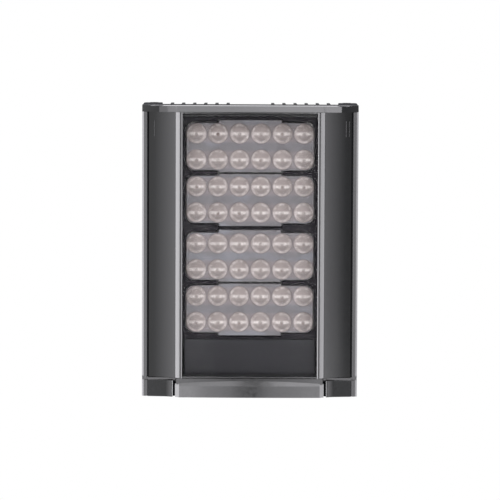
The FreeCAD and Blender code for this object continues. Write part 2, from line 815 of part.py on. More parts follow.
def trim_half():
    """Right-hand plan of the trim's front: flat panel, groove, round turn and swept corner."""
    groove_x = rail_x + s.trim_groove
    return [(rail_x, crest_y), (rail_x, crest_y + s.trim_groove_depth),
            (groove_x, crest_y + s.trim_groove_depth), (groove_x, crest_y + s.trim_groove_depth / 2),
            (groove_x + s.trim_turn, crest_y + s.trim_turn_drop),
            (head_half - s.rim_edge, rim_y), (head_half, rim_y + s.rim_edge),
            (head_half, trim_back_y)]


def make_trim():
    """The removable bottom trim: a hollow moulding that closes the insert's slot."""
    body = new_body("bottom_trim", z=bottom_z)
    plan = new_sketch(body, "XY_Plane", "TrimPlan")
    half = trim_half()
    outline(plan, mirrored_points(half), {3: s.trim_turn_drop / 2, 11: s.trim_turn_drop / 2})
    pad(body, plan, s.trim_height, "Panel")
    ledge = new_sketch(body, "XY_Plane", "LedgePlan", s.trim_height)
    rectangle(ledge, -rail_x, crest_y + s.trim_ledge_step, rail_x, trim_back_y)
    pad(body, ledge, s.trim_ledge, "Ledge")
    wings = new_sketch(body, "XY_Plane", "WingLedgePlan", s.trim_height)
    for side in (-1, 1):
        rectangle(wings, rail_x * side, rim_y - s.fit_gap, rim_x * side, trim_back_y)
    pad(body, wings, s.trim_ledge, "WingLedges")
    inside = new_sketch(body, "XY_Plane", "HollowPlan", s.trim_height - s.trim_wall)
    reach = window_half
    rectangle(inside, -reach, crest_y + s.trim_wall + s.rail_backing, reach, trim_back_y)
    for side in (-1, 1):
        rectangle(inside, (reach + s.rail_width) * side, rim_y + s.trim_wall / 2,
                  (rim_x - s.rail_backing) * side, trim_back_y)
    pocket(body, inside, s.trim_height - s.trim_wall * 2, "Hollow")
    lugs = new_sketch(body, "XY_Plane", "LugPlan")
    for side in (-1, 1):
        middle = s.trim_lug_place * side
        rectangle(lugs, middle - s.trim_lug / 2, trim_back_y - s.trim_wall, middle + s.trim_lug / 2,
                  mouth_y + s.trim_lug)
        circle(lugs, middle, mouth_y + s.trim_lug / 2, s.trim_screw_radius + s.fit_gap)
    pad(body, lugs, s.trim_lug_thickness, "Lugs")
    seats = new_sketch(body, "XY_Plane", "ScrewSeats")
    for side in (-1, 1):
        circle(seats, s.trim_lug_place * side, mouth_y + s.trim_lug / 2, s.trim_screw_head + s.fit_gap)
    pocket(body, seats, s.trim_screw_recess, "ScrewRecesses", backwards=True)


def make_lens_arrays():
    """Four moulded arrays of twelve lenses. Each lens is a dome in front of a cone that cups its emitter."""
    number = 0
    for pair in (1, -1):
        for place_in_pair in (1, -1):
            number += 1
            z = field_z + pair_pitch / 2 * pair + array_pitch / 2 * place_in_pair
            make_lens_array("lens_array_%d" % number, z, place_in_pair)


def make_lens_array(label, z, outward):
    """outward is 1 where the taller tab is at the top and -1 where it is at the bottom."""
    body = new_body(label, y=array_y, z=z)
    plate = new_sketch(body, "XZ_Plane", "PlateOutline")
    soft_rectangle(plate, 0, 0, array_width, array_height, s.array_corner)
    pad(body, plate, s.array_plate, "Plate")
    tabs = new_sketch(body, "XZ_Plane", "TabOutlines")
    edge = array_height / 2
    for side, rise in ((outward, s.outer_tab), (-outward, s.inner_tab)):
        base, tip = (edge - s.array_plate / 2) * side, (edge + rise) * side
        wide, narrow = s.tab_width / 2, s.tab_width / 2 - s.inner_tab
        outline(tabs, [(-wide, base), (wide, base), (narrow, tip), (-narrow, tip)])
    pad(body, tabs, s.array_plate, "Tabs")
    first_x = -(s.lens_pitch * (s.lens_columns - 1) / 2)
    first_z = -(s.row_pitch / 2)
    section = new_sketch(body, "XY_Plane", "LensSection", first_z)
    bind(section, "AttachmentOffset.Base.x", first_x)
    tip_y = s.leg_length - s.emitter_height - s.emitter_gap
    apex_y = -(s.array_plate + s.dome_height)
    flat, base, rise = s.dome_flat, s.dome_radius, s.dome_height
    centre = (base * base - flat * flat - rise * rise) / (rise * 2)
    sphere = (base * base + centre * centre).root()
    chord = (base - flat) * (base - flat) + rise * rise
    dome_rise = sphere - (sphere * sphere - chord / 4).root()
    outline(section, [(0, apex_y), (0, tip_y), (s.cone_tip_radius, tip_y), (base - s.emitter_gap, 0),
                      (base, -s.array_plate), (flat, apex_y)], {4: -dome_rise})
    lens = revolve(body, section, "Lens")
    columns = step_along(body, "X_Axis", s.lens_columns, s.lens_pitch, "LensColumns")
    rows = step_along(body, "Z_Axis", Tied.of(2), s.row_pitch, "LensRows")
    repeat(body, [lens], [columns, rows], "Lenses")
    legs = new_sketch(body, "XZ_Plane", "LegCircles")
    for column in (-1, 0, 1):
        circle(legs, s.lens_pitch * 2 * column, 0, s.leg_radius)
    pad(body, legs, s.leg_length, "Legs", backwards=True)


def make_boards():
    """For each pair of arrays: a board, its heat-transfer pad and its twenty-four emitters."""
    for word, pair in (("upper", 1), ("lower", -1)):
        z = field_z + pair_pitch / 2 * pair
        for label, y, thickness in (("thermal_pad_" + word, floor_y, s.thermal_pad),
                                    ("led_board_" + word, board_y, s.board_thickness)):
            body = new_body(label, y=y, z=z)
            sheet = new_sketch(body, "XZ_Plane", "BoardOutline")
            soft_rectangle(sheet, 0, 0, board_width, board_height, s.board_thickness)
            for x, up in board_screws(Tied.of(0)):
                circle(sheet, x, up, s.small_screw_radius + s.fit_gap)
            pad(body, sheet, thickness, "Board")
        emitters = new_body("led_emitters_" + word, y=emitter_y, z=z)
        first_x = -(s.lens_pitch * (s.lens_columns - 1) / 2)
        first_z = -(array_pitch / 2 + s.row_pitch / 2)
        chip = new_sketch(emitters, "XZ_Plane", "ChipOutline")
        half = s.emitter_width / 2
        rectangle(chip, first_x - half, first_z - half, first_x + half, first_z + half)
        block = pad(emitters, chip, s.emitter_height, "Chip")
        columns = step_along(emitters, "X_Axis", s.lens_columns, s.lens_pitch, "ChipColumns")
        rows = step_along(emitters, "Z_Axis", Tied.of(2), s.row_pitch, "ChipRows")
        arrays = step_along(emitters, "Z_Axis", Tied.of(2), array_pitch, "ChipArrays")
        repeat(emitters, [block], [columns, rows, arrays], "Chips")


def make_carrier():
    """The black frame round the arrays, on six posts, with fingers between the arrays of a pair."""
    plate_back_y = flange_y + s.carrier_plate
    body = new_body("led_carrier", y=plate_back_y)
    frame = new_sketch(body, "XZ_Plane", "FrameOutline")
    rectangle(frame, -carrier_x, carrier_low_z, carrier_x, carrier_high_z)
    pad(body, frame, s.carrier_plate, "Frame")
    windows = new_sketch(body, "XZ_Plane", "ArrayWindow")
    gap = s.carrier_gap
    first_z = field_z - pair_pitch / 2 - array_pitch / 2
    soft_rectangle(windows, 0, first_z, array_width + gap * 2, array_height + gap * 2, s.array_corner)
    window = pocket(body, windows, s.carrier_plate, "ArrayWindow", backwards=True)
    slots = new_sketch(body, "XZ_Plane", "TabWindow")
    edge = array_height / 2
    wide = s.tab_width / 2 + gap
    middle = array_pitch / 2
    rectangle(slots, -wide, first_z - edge - s.outer_tab - gap, wide, first_z + middle)
    low = pocket(body, slots, s.carrier_plate, "LowTabWindow", backwards=True)
    upper = new_sketch(body, "XZ_Plane", "UpperTabWindow")
    second_z = first_z + array_pitch
    rectangle(upper, -wide, second_z - middle, wide, second_z + edge + s.outer_tab + gap)
    high = pocket(body, upper, s.carrier_plate, "HighTabWindow", backwards=True)
    pairs = step_along(body, "Z_Axis", Tied.of(2), pair_pitch, "PairPattern")
    repeat(body, [low, high], [pairs], "TabWindows")
    inner = step_along(body, "Z_Axis", Tied.of(2), array_pitch, "ArrayPattern")
    outer = step_along(body, "Z_Axis", Tied.of(2), pair_pitch, "OuterPattern")
    repeat(body, [window], [inner, outer], "ArrayWindows")
    posts = new_sketch(body, "XZ_Plane", "PostCircles")
    holes = new_sketch(body, "XZ_Plane", "PostHoles", s.carrier_plate)
    for x, z in carrier_posts():
        circle(posts, x, z, s.post_radius)
        circle(holes, x, z, s.small_screw_radius + s.fit_gap / 2)
    post_length = floor_y - plate_back_y
    pad(body, posts, post_length, "Posts", backwards=True)
    pocket(body, holes, post_length + s.carrier_plate, "PostBores")
    make_screws("carrier_screws", carrier_posts(), "back",
                screw_section(s.small_screw_radius, post_length + s.carrier_plate + s.small_screw_bite,
                              s.small_screw_head, s.small_screw_head_height), flange_y)


def make_driver_cover():
    """The blank panel below the arrays, with round upper corners, on two posts."""
    body = new_body("driver_cover", y=flange_y + s.cover_plate)
    panel = new_sketch(body, "XZ_Plane", "PanelOutline")
    half, low, high = window_half - s.cover_side_gap, cover_low_z, cover_high_z
    r = s.cover_corner
    rise = r * QUARTER_RISE
    outline(panel, [(-half, low), (half, low), (half, high - r), (half - r, high), (r - half, high),
                    (-half, high - r)], {2: rise, 4: rise})
    pad(body, panel, s.cover_plate, "Panel")
    posts = new_sketch(body, "XZ_Plane", "PostCircles")
    for side in (-1, 1):
        circle(posts, (half - s.cover_post_inset) * side, (low + high) / 2, s.post_radius)
    pad(body, posts, floor_y - flange_y - s.cover_plate, "Posts", backwards=True)


def make_driver():
    """Driver board on the left and terminal board on the right of the gland, with what they carry."""
    board_level = floor_y - s.standoff
    low, high = driver_low_z, driver_high_z
    middle_z = (low + high) / 2
    middle_x = (s.driver_inner + s.driver_outer) / 2
    for label, side in (("driver_board", -1), ("terminal_board", 1)):
        body = new_body(label, y=board_level)
        sheet = new_sketch(body, "XZ_Plane", "BoardOutline")
        rectangle(sheet, s.driver_inner * side, low, s.driver_outer * side, high)
        for x, z in driver_screws()[:2] if side < 0 else driver_screws()[2:]:
            circle(sheet, x, z, s.small_screw_radius + s.fit_gap)
        pad(body, sheet, s.board_thickness, "Board")
    spacers = new_body("board_standoffs", y=floor_y)
    rings = new_sketch(spacers, "XZ_Plane", "SpacerRings")
    for x, z in driver_screws():
        circle(rings, x, z, s.standoff_radius)
        circle(rings, x, z, s.small_screw_radius + s.fit_gap / 2)
    pad(spacers, rings, s.standoff, "Spacers")
    top_y = board_level - s.board_thickness
    screws = screw_section(s.small_screw_radius, s.standoff + s.board_thickness + s.small_screw_bite,
                           s.small_screw_head, s.small_screw_head_height)
    make_screws("driver_screws", driver_screws(), "back", screws, top_y)
    coils = new_body("driver_inductors", x=-middle_x, y=top_y, z=middle_z + s.inductor_width / 4)
    plan = new_sketch(coils, "XZ_Plane", "CoilOutlines")
    for side in (-1, 1):
        soft_rectangle(plan, s.inductor_spacing / 2 * side, 0, s.inductor_width, s.inductor_width,
                       s.capacitor_radius / 2)
    pad(coils, plan, s.inductor_height, "Coils")
    cans = new_body("driver_capacitors", x=middle_x, y=top_y, z=low + s.capacitor_radius * 2)
    rounds = new_sketch(cans, "XZ_Plane", "CanCircles")
    for side in (-1, 1):
        circle(rounds, s.capacitor_spacing / 2 * side, 0, s.capacitor_radius)
    pad(cans, rounds, s.capacitor_height, "Cans")
    block = new_body("terminal_block", x=middle_x, y=top_y, z=high - s.terminal_depth)
    base = new_sketch(block, "XZ_Plane", "BlockOutline")
    half_x, half_z = s.terminal_width / 2, s.terminal_depth / 2
    rectangle(base, -half_x, -half_z, half_x, half_z)
    pad(block, base, s.terminal_height, "Block")


def make_board_screws():
    places = board_screws(field_z + pair_pitch / 2) + board_screws(field_z - pair_pitch / 2)
    length = s.thermal_pad + s.board_thickness + s.small_screw_bite
    section = screw_section(s.small_screw_radius, length, s.small_screw_head, s.small_screw_head_height)
    make_screws("led_board_screws", places, "back", section, emitter_y)


def make_gland():
    """A cable gland in the channel behind the back plate: washer, body, locknut, rubber and cap nut."""
    z = bottom_z + s.gland_height
    seat = s.gland_washer
    neck_top = seat + s.gland_flange + s.gland_neck_length
    near, far = s.gland_thread + s.fit_gap, s.gland_hex - s.fit_gap
    turned("gland_washer", [(near, 0), (far, 0), (far, seat), (near, seat)], y=plate_y, z=z)
    body = new_body("gland_body", y=plate_y, z=z)
    flats = new_sketch(body, "XZ_Plane", "HexOutline", -seat)
    hexagon(flats, 0, 0, s.gland_hex)
    pad(body, flats, s.gland_flange, "Hex", backwards=True)
    rounds = (("Thread", seat, s.gland_thread, seat + s.back_plate + s.locknut, False),
              ("Neck", seat + s.gland_flange, s.gland_neck, s.gland_neck_length, True))
    for word, level, radius, length, backwards in rounds:
        ring = new_sketch(body, "XZ_Plane", word + "Circle", -level)
        circle(ring, 0, 0, radius)
        pad(body, ring, length, word, backwards)
    bore = new_sketch(body, "XZ_Plane", "BoreCircle", -neck_top)
    circle(bore, 0, 0, s.gland_bore)
    pocket(body, bore, neck_top + s.back_plate + s.locknut, "Bore", backwards=True)
    nut = new_body("gland_locknut", y=floor_y, z=z)
    flats = new_sketch(nut, "XZ_Plane", "HexOutline")
    hexagon(flats, 0, 0, s.gland_hex)
    circle(flats, 0, 0, s.gland_thread + s.gland_thread_play)
    pad(nut, flats, s.locknut, "Nut")
    start = neck_top - s.gland_seal_length / 2
    turned("gland_rubber", [(s.gland_seal_bore, start), (s.gland_bore - s.gland_thread_play, start),
                            (s.gland_bore - s.gland_thread_play, start + s.gland_seal_length),
                            (s.gland_seal_bore, start + s.gland_seal_length)], y=plate_y, z=z)
    inside = s.gland_neck + s.gland_thread_play
    outside = inside + s.gland_cap_wall
    low = seat + s.gland_flange + s.fit_gap
    high = low + s.gland_cap_length
    mouth = s.gland_bore
    turned("gland_cap_nut", [(inside, low), (outside, low), (outside, high - s.gland_cap_wall * 2),
                             (mouth + s.gland_cap_wall, high), (mouth, high),
                             (mouth, high - s.gland_cap_wall * 2), (inside, high - s.gland_cap_wall * 3)],
           y=plate_y, z=z)


def make_pivot_block():
    """The block that bolts to the T-slot and carries the tilt pivot and the two lock screws."""
    body = new_body("pivot_block")
    base = new_sketch(body, "XZ_Plane", "FlangeOutline", -lip_y)
    half, reach = s.block_width / 2, s.block_height / 2
    rectangle(base, -half, -reach, half, reach)
    for side in (-1, 1):
        circle(base, 0, s.block_screw_spacing / 2 * side, s.block_screw_radius + s.fit_gap)
    pad(body, base, s.block_flange, "Flange", backwards=True)
    root_y = lip_y + s.block_flange
    lock_y = pivot_y + s.lock_radius
    ear = new_sketch(body, "YZ_Plane", "EarOutline", -(s.ear_width / 2))
    root = s.block_screw_spacing / 2 - s.block_screw_radius * 2
    waist, end = s.ear_waist_radius, s.ear_end_radius
    rise = end * QUARTER_RISE
    foot_y = root_y - s.block_flange / 2
    outline(ear, [(foot_y, -root), (pivot_y - waist, -waist), (pivot_y, -waist), (lock_y, -end),
                  (lock_y + end, 0), (lock_y, end), (pivot_y, waist), (pivot_y - waist, waist),
                  (foot_y, root)], {3: rise, 4: rise})
    pad(body, ear, s.ear_width, "Ear")
    bores = new_sketch(body, "YZ_Plane", "PivotBore", -(s.ear_width / 2))
    circle(bores, pivot_y, 0, s.pivot_bolt_radius + s.pivot_play)
    circle(bores, lock_y, 0, s.lock_screw_radius + s.pivot_play)
    pocket(body, bores, s.ear_width, "Bores", backwards=True)
    plate = new_body("channel_nut_plate", y=lip_y - s.slot_lip)
    sheet = new_sketch(plate, "XZ_Plane", "NutPlateOutline")
    wide = s.slot_width / 2 - s.fit_gap
    rectangle(sheet, -wide, -reach, wide, reach)
    for side in (-1, 1):
        circle(sheet, 0, s.block_screw_spacing / 2 * side, s.block_screw_radius)
    pad(plate, sheet, s.slot_depth - s.slot_fit, "NutPlate")
    places = [(0, s.block_screw_spacing / 2 * side) for side in (-1, 1)]
    length = s.block_flange + s.slot_lip + s.slot_depth - s.slot_fit * 2
    section = screw_section(s.block_screw_radius, length, s.block_screw_radius * HEAD_RATIO,
                            s.block_screw_radius * HEAD_RISE_RATIO)
    make_screws("block_screws", places, "front", section, root_y)


def make_yoke():
    """A folded steel yoke: a base strip on the wall, two bends and two arms with curved tilt slots."""
    body = new_body("yoke_bracket")
    inner = s.ear_width / 2 + s.face_play
    outer = inner + s.yoke_thickness
    bend = s.yoke_bend
    strip = new_sketch(body, "XY_Plane", "FoldedSection", -(s.yoke_height / 2))
    end_y = pivot_y - s.arm_end_radius
    bend_y = -(bend + s.yoke_thickness)
    points = [(-(outer + bend_y), 0), (outer + bend_y, 0), (outer, bend_y), (outer, end_y), (inner, end_y),
              (inner, bend_y), (inner - bend, -s.yoke_thickness), (-(inner - bend), -s.yoke_thickness),
              (-inner, bend_y), (-inner, end_y), (-outer, end_y), (-outer, bend_y)]
    inside, outside = bend * QUARTER_RISE, bend_y * QUARTER_RISE
    outline(strip, points, {1: outside, 5: inside, 7: inside, 11: outside})
    pad(body, strip, s.yoke_height, "FoldedStrip")
    trimmer = new_sketch(body, "YZ_Plane", "ArmTrim", -outer)
    tall = s.yoke_height / 2 + s.yoke_thickness
    root_y = bend_y - s.yoke_thickness
    root, tip = s.arm_root_height / 2, s.arm_end_radius
    beyond_y = end_y - s.yoke_thickness
    rise = -(tip * QUARTER_RISE)
    outline(trimmer, [(root_y, root), (root_y, tall), (beyond_y, tall), (beyond_y, -tall), (root_y, -tall),
                      (root_y, -root), (pivot_y, -tip), (end_y, 0), (pivot_y, tip)], {6: rise, 7: rise})
    pocket(body, trimmer, outer * 2, "ArmOutline", backwards=True)
    holes = new_sketch(body, "YZ_Plane", "ArmHoles", -outer)
    circle(holes, pivot_y, 0, s.pivot_bolt_radius + s.pivot_play)
    pocket(body, holes, outer * 2, "PivotHoles", backwards=True)
    arc_slot(body, outer)
    wall = new_sketch(body, "XZ_Plane", "WallHoles")
    circle(wall, 0, 0, s.centre_hole_radius)
    for side in (-1, 1):
        circle(wall, 0, s.wall_hole_spacing / 2 * side, s.wall_hole_radius)
    pocket(body, wall, s.yoke_thickness, "WallHoles", backwards=True)


def arc_slot(body, outer):
    """Curved slots in both arms, centred on the pivot, that the lock screws run in."""
    sketch = new_sketch(body, "YZ_Plane", "TiltSlot", -outer)
    half = math.radians(SIZES["tilt_limit"] + SIZES["slot_overrun"])
    reach = s.lock_screw_radius + s.slot_play
    near, far = s.lock_radius - reach, s.lock_radius + reach

    def spot(radius, turn, beyond=0):
        across = pivot_y + radius * math.cos(turn) - beyond * math.sin(turn)
        return across, radius * math.sin(turn) + beyond * math.cos(turn)

    points = [spot(near, -half), spot(s.lock_radius, -half, -reach), spot(far, -half), spot(far, half),
              spot(s.lock_radius, half, reach), spot(near, half)]
    end_rise = reach * QUARTER_RISE
    sweep = 1 - math.cos(half)
    outline(sketch, points, {0: end_rise, 1: end_rise, 2: far * sweep, 3: end_rise, 4: end_rise,
                             5: -(near * sweep)})
    pocket(body, sketch, outer * 2, "TiltSlots", backwards=True)


def make_pivot_fasteners():
    """Pivot bolt with washers and nut, and the two lock screws with their washers."""
    face = s.ear_width / 2 + s.face_play * 2 + s.yoke_thickness
    bolt = s.pivot_bolt_radius
    head = bolt * HEAD_RATIO
    seat = face + bolt * WASHER_RISE_RATIO
    head_x = seat + bolt * HEAD_RISE_RATIO
    tip_x = seat + bolt * WASHER_RATIO
    half = [(-head_x, 0), (-head_x, head), (-seat, head), (-seat, bolt), (tip_x, bolt), (tip_x, 0)]
    turned("pivot_bolt", half, y=pivot_y, axis="H_Axis")
    rings = new_body("pivot_washers", y=pivot_y)
    for side, word in ((1, "Right"), (-1, "Left")):
        section = new_sketch(rings, "XY_Plane", word + "Section")
        rectangle(section, face * side, bolt + s.pivot_play, seat * side, bolt * WASHER_RATIO)
        revolve(rings, section, word + "Washer", "H_Axis")
    nut = new_body("pivot_nut", y=pivot_y)
    flats = new_sketch(nut, "YZ_Plane", "NutOutline", seat)
    hexagon(flats, 0, 0, head)
    circle(flats, 0, 0, bolt + s.pivot_play)
    pad(nut, flats, bolt * NUT_RATIO, "Nut")
    lock = s.lock_screw_radius
    lock_y = pivot_y + s.lock_radius
    seat = face + lock * WASHER_RISE_RATIO
    end = seat + lock * HEAD_RISE_RATIO
    screws = new_body("tilt_lock_screws", y=lock_y)
    washers = new_body("tilt_lock_washers", y=lock_y)
    for side, word in ((1, "Right"), (-1, "Left")):
        section = new_sketch(screws, "XY_Plane", word + "Section")
        points = [(end * side, 0), (end * side, lock * HEAD_RATIO), (seat * side, lock * HEAD_RATIO),
                  (seat * side, lock), (lock * side, lock), (lock * side, 0)]
        outline(section, points)
        revolve(screws, section, word + "Screw", "H_Axis")
        section = new_sketch(washers, "XY_Plane", word + "Section")
        rectangle(section, face * side, lock + s.pivot_play, seat * side, lock * WASHER_RATIO)
        revolve(washers, section, word + "Washer", "H_Axis")


def make_trim_screws():
    places = [(s.trim_lug_place * side, mouth_y + s.trim_lug / 2) for side in (-1, 1)]
    section = screw_section(s.trim_screw_radius, s.bottom_cap - s.trim_screw_recess, s.trim_screw_head,
                            s.trim_screw_recess)
    make_screws("trim_screws", places, "up", section, bottom_z + s.trim_screw_recess)


def check_and_write():
    DOC.recompute()
    for obj in DOC.Objects:
        if "Invalid" in obj.State or "Error" in obj.State:
            raise RuntimeError("%s is in state %s" % (obj.Label, obj.State))
    os.makedirs("parts", exist_ok=True)
    for node in NODES:
        if node.Shape.isNull() or not node.Shape.isValid():
            raise RuntimeError("%s has no valid shape" % node.Label)
    for node in NODES:
        node.Shape.exportStep("parts/%s.step" % node.Label)
    print("%d sub-parts" % len(NODES))


make_housing()
make_top_cap()
make_bottom_cap()
make_cap_gasket("top_cap_gasket", shell_top_z)
make_cap_gasket("bottom_cap_gasket", shell_bottom_z - s.cap_gasket)
make_cap_screws()
make_fascia()
make_fascia_gasket()
make_window()
make_trim()
make_trim_screws()
make_lens_arrays()
make_boards()
make_board_screws()
make_carrier()
make_driver_cover()
make_driver()
make_gland()
make_pivot_block()
make_yoke()
make_pivot_fasteners()
check_and_write()
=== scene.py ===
# %% [markdown]
# # An infrared illuminator, dressed for its portrait
# The CAD model gives every piece its true place and size. This script loads that model as a fixed frame,
# then gives each surface the look of what it is made of, and swaps a few pieces for finer meshes where
# a small curve or a soft edge decides how the light runs over it.

# %% Load the frame
import math

import bmesh
import bpy
from mathutils import Matrix, Vector


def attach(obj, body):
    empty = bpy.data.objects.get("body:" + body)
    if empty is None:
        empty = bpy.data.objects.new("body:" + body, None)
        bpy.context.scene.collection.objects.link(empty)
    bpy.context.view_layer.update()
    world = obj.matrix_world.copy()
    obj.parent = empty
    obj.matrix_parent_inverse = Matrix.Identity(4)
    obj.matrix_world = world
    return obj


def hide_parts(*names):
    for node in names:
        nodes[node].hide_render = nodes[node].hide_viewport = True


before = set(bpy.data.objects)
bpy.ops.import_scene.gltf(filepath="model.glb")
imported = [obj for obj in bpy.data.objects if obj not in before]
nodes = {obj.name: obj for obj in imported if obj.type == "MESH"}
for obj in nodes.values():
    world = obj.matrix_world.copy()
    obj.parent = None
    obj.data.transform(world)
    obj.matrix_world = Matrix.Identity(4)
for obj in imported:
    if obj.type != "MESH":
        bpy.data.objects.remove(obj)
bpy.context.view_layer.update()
print("CAD nodes:", len(nodes))

# %% [markdown]
# ## Millimetres and colours
# Blender counts in metres, and its shaders want colours as linear light. A designer writes millimetres
# and the hex colours of a paint card, so two tiny functions turn one into the other.

# %% Units and colours
MM = 0.001


def linear(hex_colour):
    """An sRGB hex colour as the linear colour that a shader socket takes."""
    parts = [int(hex_colour[i:i + 2], 16) / 255 for i in (1, 3, 5)]
    return tuple(p / 12.92 if p <= 0.04045 else ((p + 0.055) / 1.055) ** 2.4 for p in parts) + (1.0,)


def add(tree, kind, inputs=None, **settings):
    """Adds one node. inputs gives each socket a value, or the output of another node to link to."""
    made = tree.nodes.new(kind)
    for name, value in settings.items():
        setattr(made, name, value)
    for socket, value in (inputs or {}).items():
        if isinstance(value, bpy.types.NodeSocket):
            tree.links.new(value, made.inputs[socket])
        else:
            made.inputs[socket].default_value = value
    return made


print("mid grey is", round(linear("#808080")[0], 3), "in linear light")

# %% [markdown]
# ## Camera
# The product is photographed almost square on, from a long way off and a little above: its fin tips just
# show over the top edge. A long lens keeps the sides nearly parallel. The camera is turned a hair about
# its own axis, as a hand-levelled camera often is.

# %% Camera
DISTANCE = 2.7
ELEVATION = math.radians(5.0)
ROLL = math.radians(0.24)
LENS = 233.5
AIM = Vector((0.0001, -0.14, 0.0015))

camera = bpy.data.objects.new("camera", bpy.data.cameras.new("camera"))
bpy.context.scene.collection.objects.link(camera)
camera.data.sensor_width = 36
camera.data.lens = LENS
camera.data.clip_start = 0.1
camera.location = AIM + DISTANCE * Vector((0, -math.cos(ELEVATION), math.sin(ELEVATION)))
level = (AIM - camera.location).to_track_quat("-Z", "Y")
camera.rotation_mode = "QUATERNION"
camera.rotation_quaternion = level @ Matrix.Rotation(ROLL, 3, "Z").to_quaternion()
bpy.context.scene.camera = camera
bpy.context.scene.view_settings.view_transform = "Standard"
print("camera is", DISTANCE, "m away with a lens of", LENS, "mm")

# %% [markdown]
# ## Studio
# Product photographers hang black glossy things in a white tent and add soft boxes for the long clean
# highlights. The world is the tent: white to the camera, white in reflections too but with greyer cloth on
# the right and behind, and a plain level as a lamp. Each flat or bowed face of the head mirrors one
# direction, so each lamp below is placed for the face that shows it.

# %% World
TENT_LEVEL = 0.4
GREY_CLOTH = 0.5

world = bpy.data.worlds.new("white_tent")
bpy.context.scene.world = world
world.use_nodes = True
tree = world.node_tree
tree.nodes.clear()
path = add(tree, "ShaderNodeLightPath")
towards = add(tree, "ShaderNodeSeparateXYZ", {0: add(tree, "ShaderNodeTexCoord").outputs["Generated"]})
right = add(tree, "ShaderNodeMapRange", {"Value": towards.outputs["X"], "From Min": 0.1, "From Max": 0.5,
                                         "To Min": 1.0, "To Max": GREY_CLOTH})
behind = add(tree, "ShaderNodeMapRange", {"Value": towards.outputs["Y"], "From Min": 0.2, "From Max": 0.7,
                                          "To Min": 1.0, "To Max": GREY_CLOTH})
cloth = add(tree, "ShaderNodeMath", {0: right.outputs[0], 1: behind.outputs[0]}, operation="MULTIPLY")
seen = add(tree, "ShaderNodeMath", {0: path.outputs["Is Camera Ray"], 1: path.outputs["Is Transmission Ray"]},
           operation="MAXIMUM")
strength = add(tree, "ShaderNodeMix", {"Factor": path.outputs["Is Glossy Ray"], "A": TENT_LEVEL,
                                       "B": cloth.outputs[0]}).outputs["Result"]
strength = add(tree, "ShaderNodeMix", {"Factor": seen.outputs[0], "A": strength, "B": 1.0}).outputs["Result"]
white = add(tree, "ShaderNodeBackground", {"Color": linear("#ffffff"), "Strength": strength})
add(tree, "ShaderNodeOutputWorld", {"Surface": white.outputs[0]})
print("tent level", TENT_LEVEL, "as a lamp, and", GREY_CLOTH, "where its cloth is grey")

# %% Soft boxes
def soft_box(name, place, target, width, height, watts):
    """A rectangular area lamp at place that faces target."""
    lamp = bpy.data.lights.new(name, "AREA")
    lamp.shape = "RECTANGLE"
    lamp.size, lamp.size_y, lamp.energy = width, height, watts
    lamp.color = (0.975, 0.96, 1.0)
    holder = bpy.data.objects.new(name, lamp)
    bpy.context.scene.collection.objects.link(holder)
    holder.location = place
    holder.rotation_mode = "QUATERNION"
    holder.rotation_quaternion = (Vector(target) - Vector(place)).to_track_quat("-Z", "Y")
    radiance = watts / (math.pi * width * height)
    print(name, "shines at", round(radiance, 1))


HEAD_MIDDLE = (0, -0.13, 0)
LAMPS = {  # place, width, height, watts
    "left_box": ((-1.42, -0.44, -0.12), 0.5, 0.75, 11.0),  # the left rail mirrors it
    "right_box": ((1.42, -0.44, -0.12), 0.5, 0.75, 8.2),  # the right rail
    "top_left_box": ((-0.13, -1.0, 1.35), 0.26, 0.6, 1.9),  # the lid's front and the trim's upper slope
    "top_far_left_box": ((-0.45, -1.0, 1.35), 0.36, 0.6, 1.4),
    "top_right_box": ((0.33, -1.0, 1.35), 0.65, 0.6, 6.3),
    "hair_strip": ((0, 0.48, 1.37), 1.4, 0.4, 13),  # the broken edge of the lid
}
for name, (place, width, height, watts) in LAMPS.items():
    soft_box(name, place, HEAD_MIDDLE, width, height, watts)
soft_box("low_strip", (0, -0.15, -0.43), (0, -0.14, 0), 1.0, 0.5, 4)

# %% Fading light for the wings
# Behind the side boxes the light fades towards the front, so the wings brighten towards the rails.
FADE_DISTANCE, FADE_HEIGHT, FADE_STEP = 1.5, 0.75, 3
FADE_WIDTH = 2 * FADE_DISTANCE * math.tan(math.radians(1.55))


def around(azimuth, distance, height):
    """A place round the head, by its angle from the front in degrees, positive to the right."""
    angle = math.radians(azimuth)
    return (distance * math.sin(angle), HEAD_MIDDLE[1] - distance * math.cos(angle), height)


for step in range(9):
    radiance = 0.05 + 0.225 * step
    for side, word in ((-1, "left"), (1, "right")):
        soft_box("%s_fade_%d" % (word, step), around((38 + FADE_STEP * step) * side, FADE_DISTANCE, -0.12),
                 HEAD_MIDDLE, FADE_WIDTH, FADE_HEIGHT, radiance * math.pi * FADE_WIDTH * FADE_HEIGHT)

# %% Low strips beside the camera
# They lift the flat faces, which mirror the camera's side of the room. They are brighter further out, so the
# slightly bowed trim darkens towards its middle.
STRIP_Y, STRIP_Z, STRIP_HEIGHT = -2.72, -0.34, 0.8
for side, word in ((-1, "left"), (1, "right")):
    for part, first, last, radiance in (("near", 0.06, 0.24, 2.6), ("far", 0.24, 0.6, 4.3 - 0.7 * side)):
        x = (first + last) / 2 * side
        soft_box("%s_%s_strip" % (word, part), (x, STRIP_Y, STRIP_Z), (x, 0, STRIP_Z), last - first,
                 STRIP_HEIGHT, radiance * math.pi * (last - first) * STRIP_HEIGHT)

# %% [markdown]
# ## Finishes
# Each finish is named for the real stuff and how it was made. Typical values come first, then small
# irregular patterns, whose sizes are worked out from real sizes in millimetres.

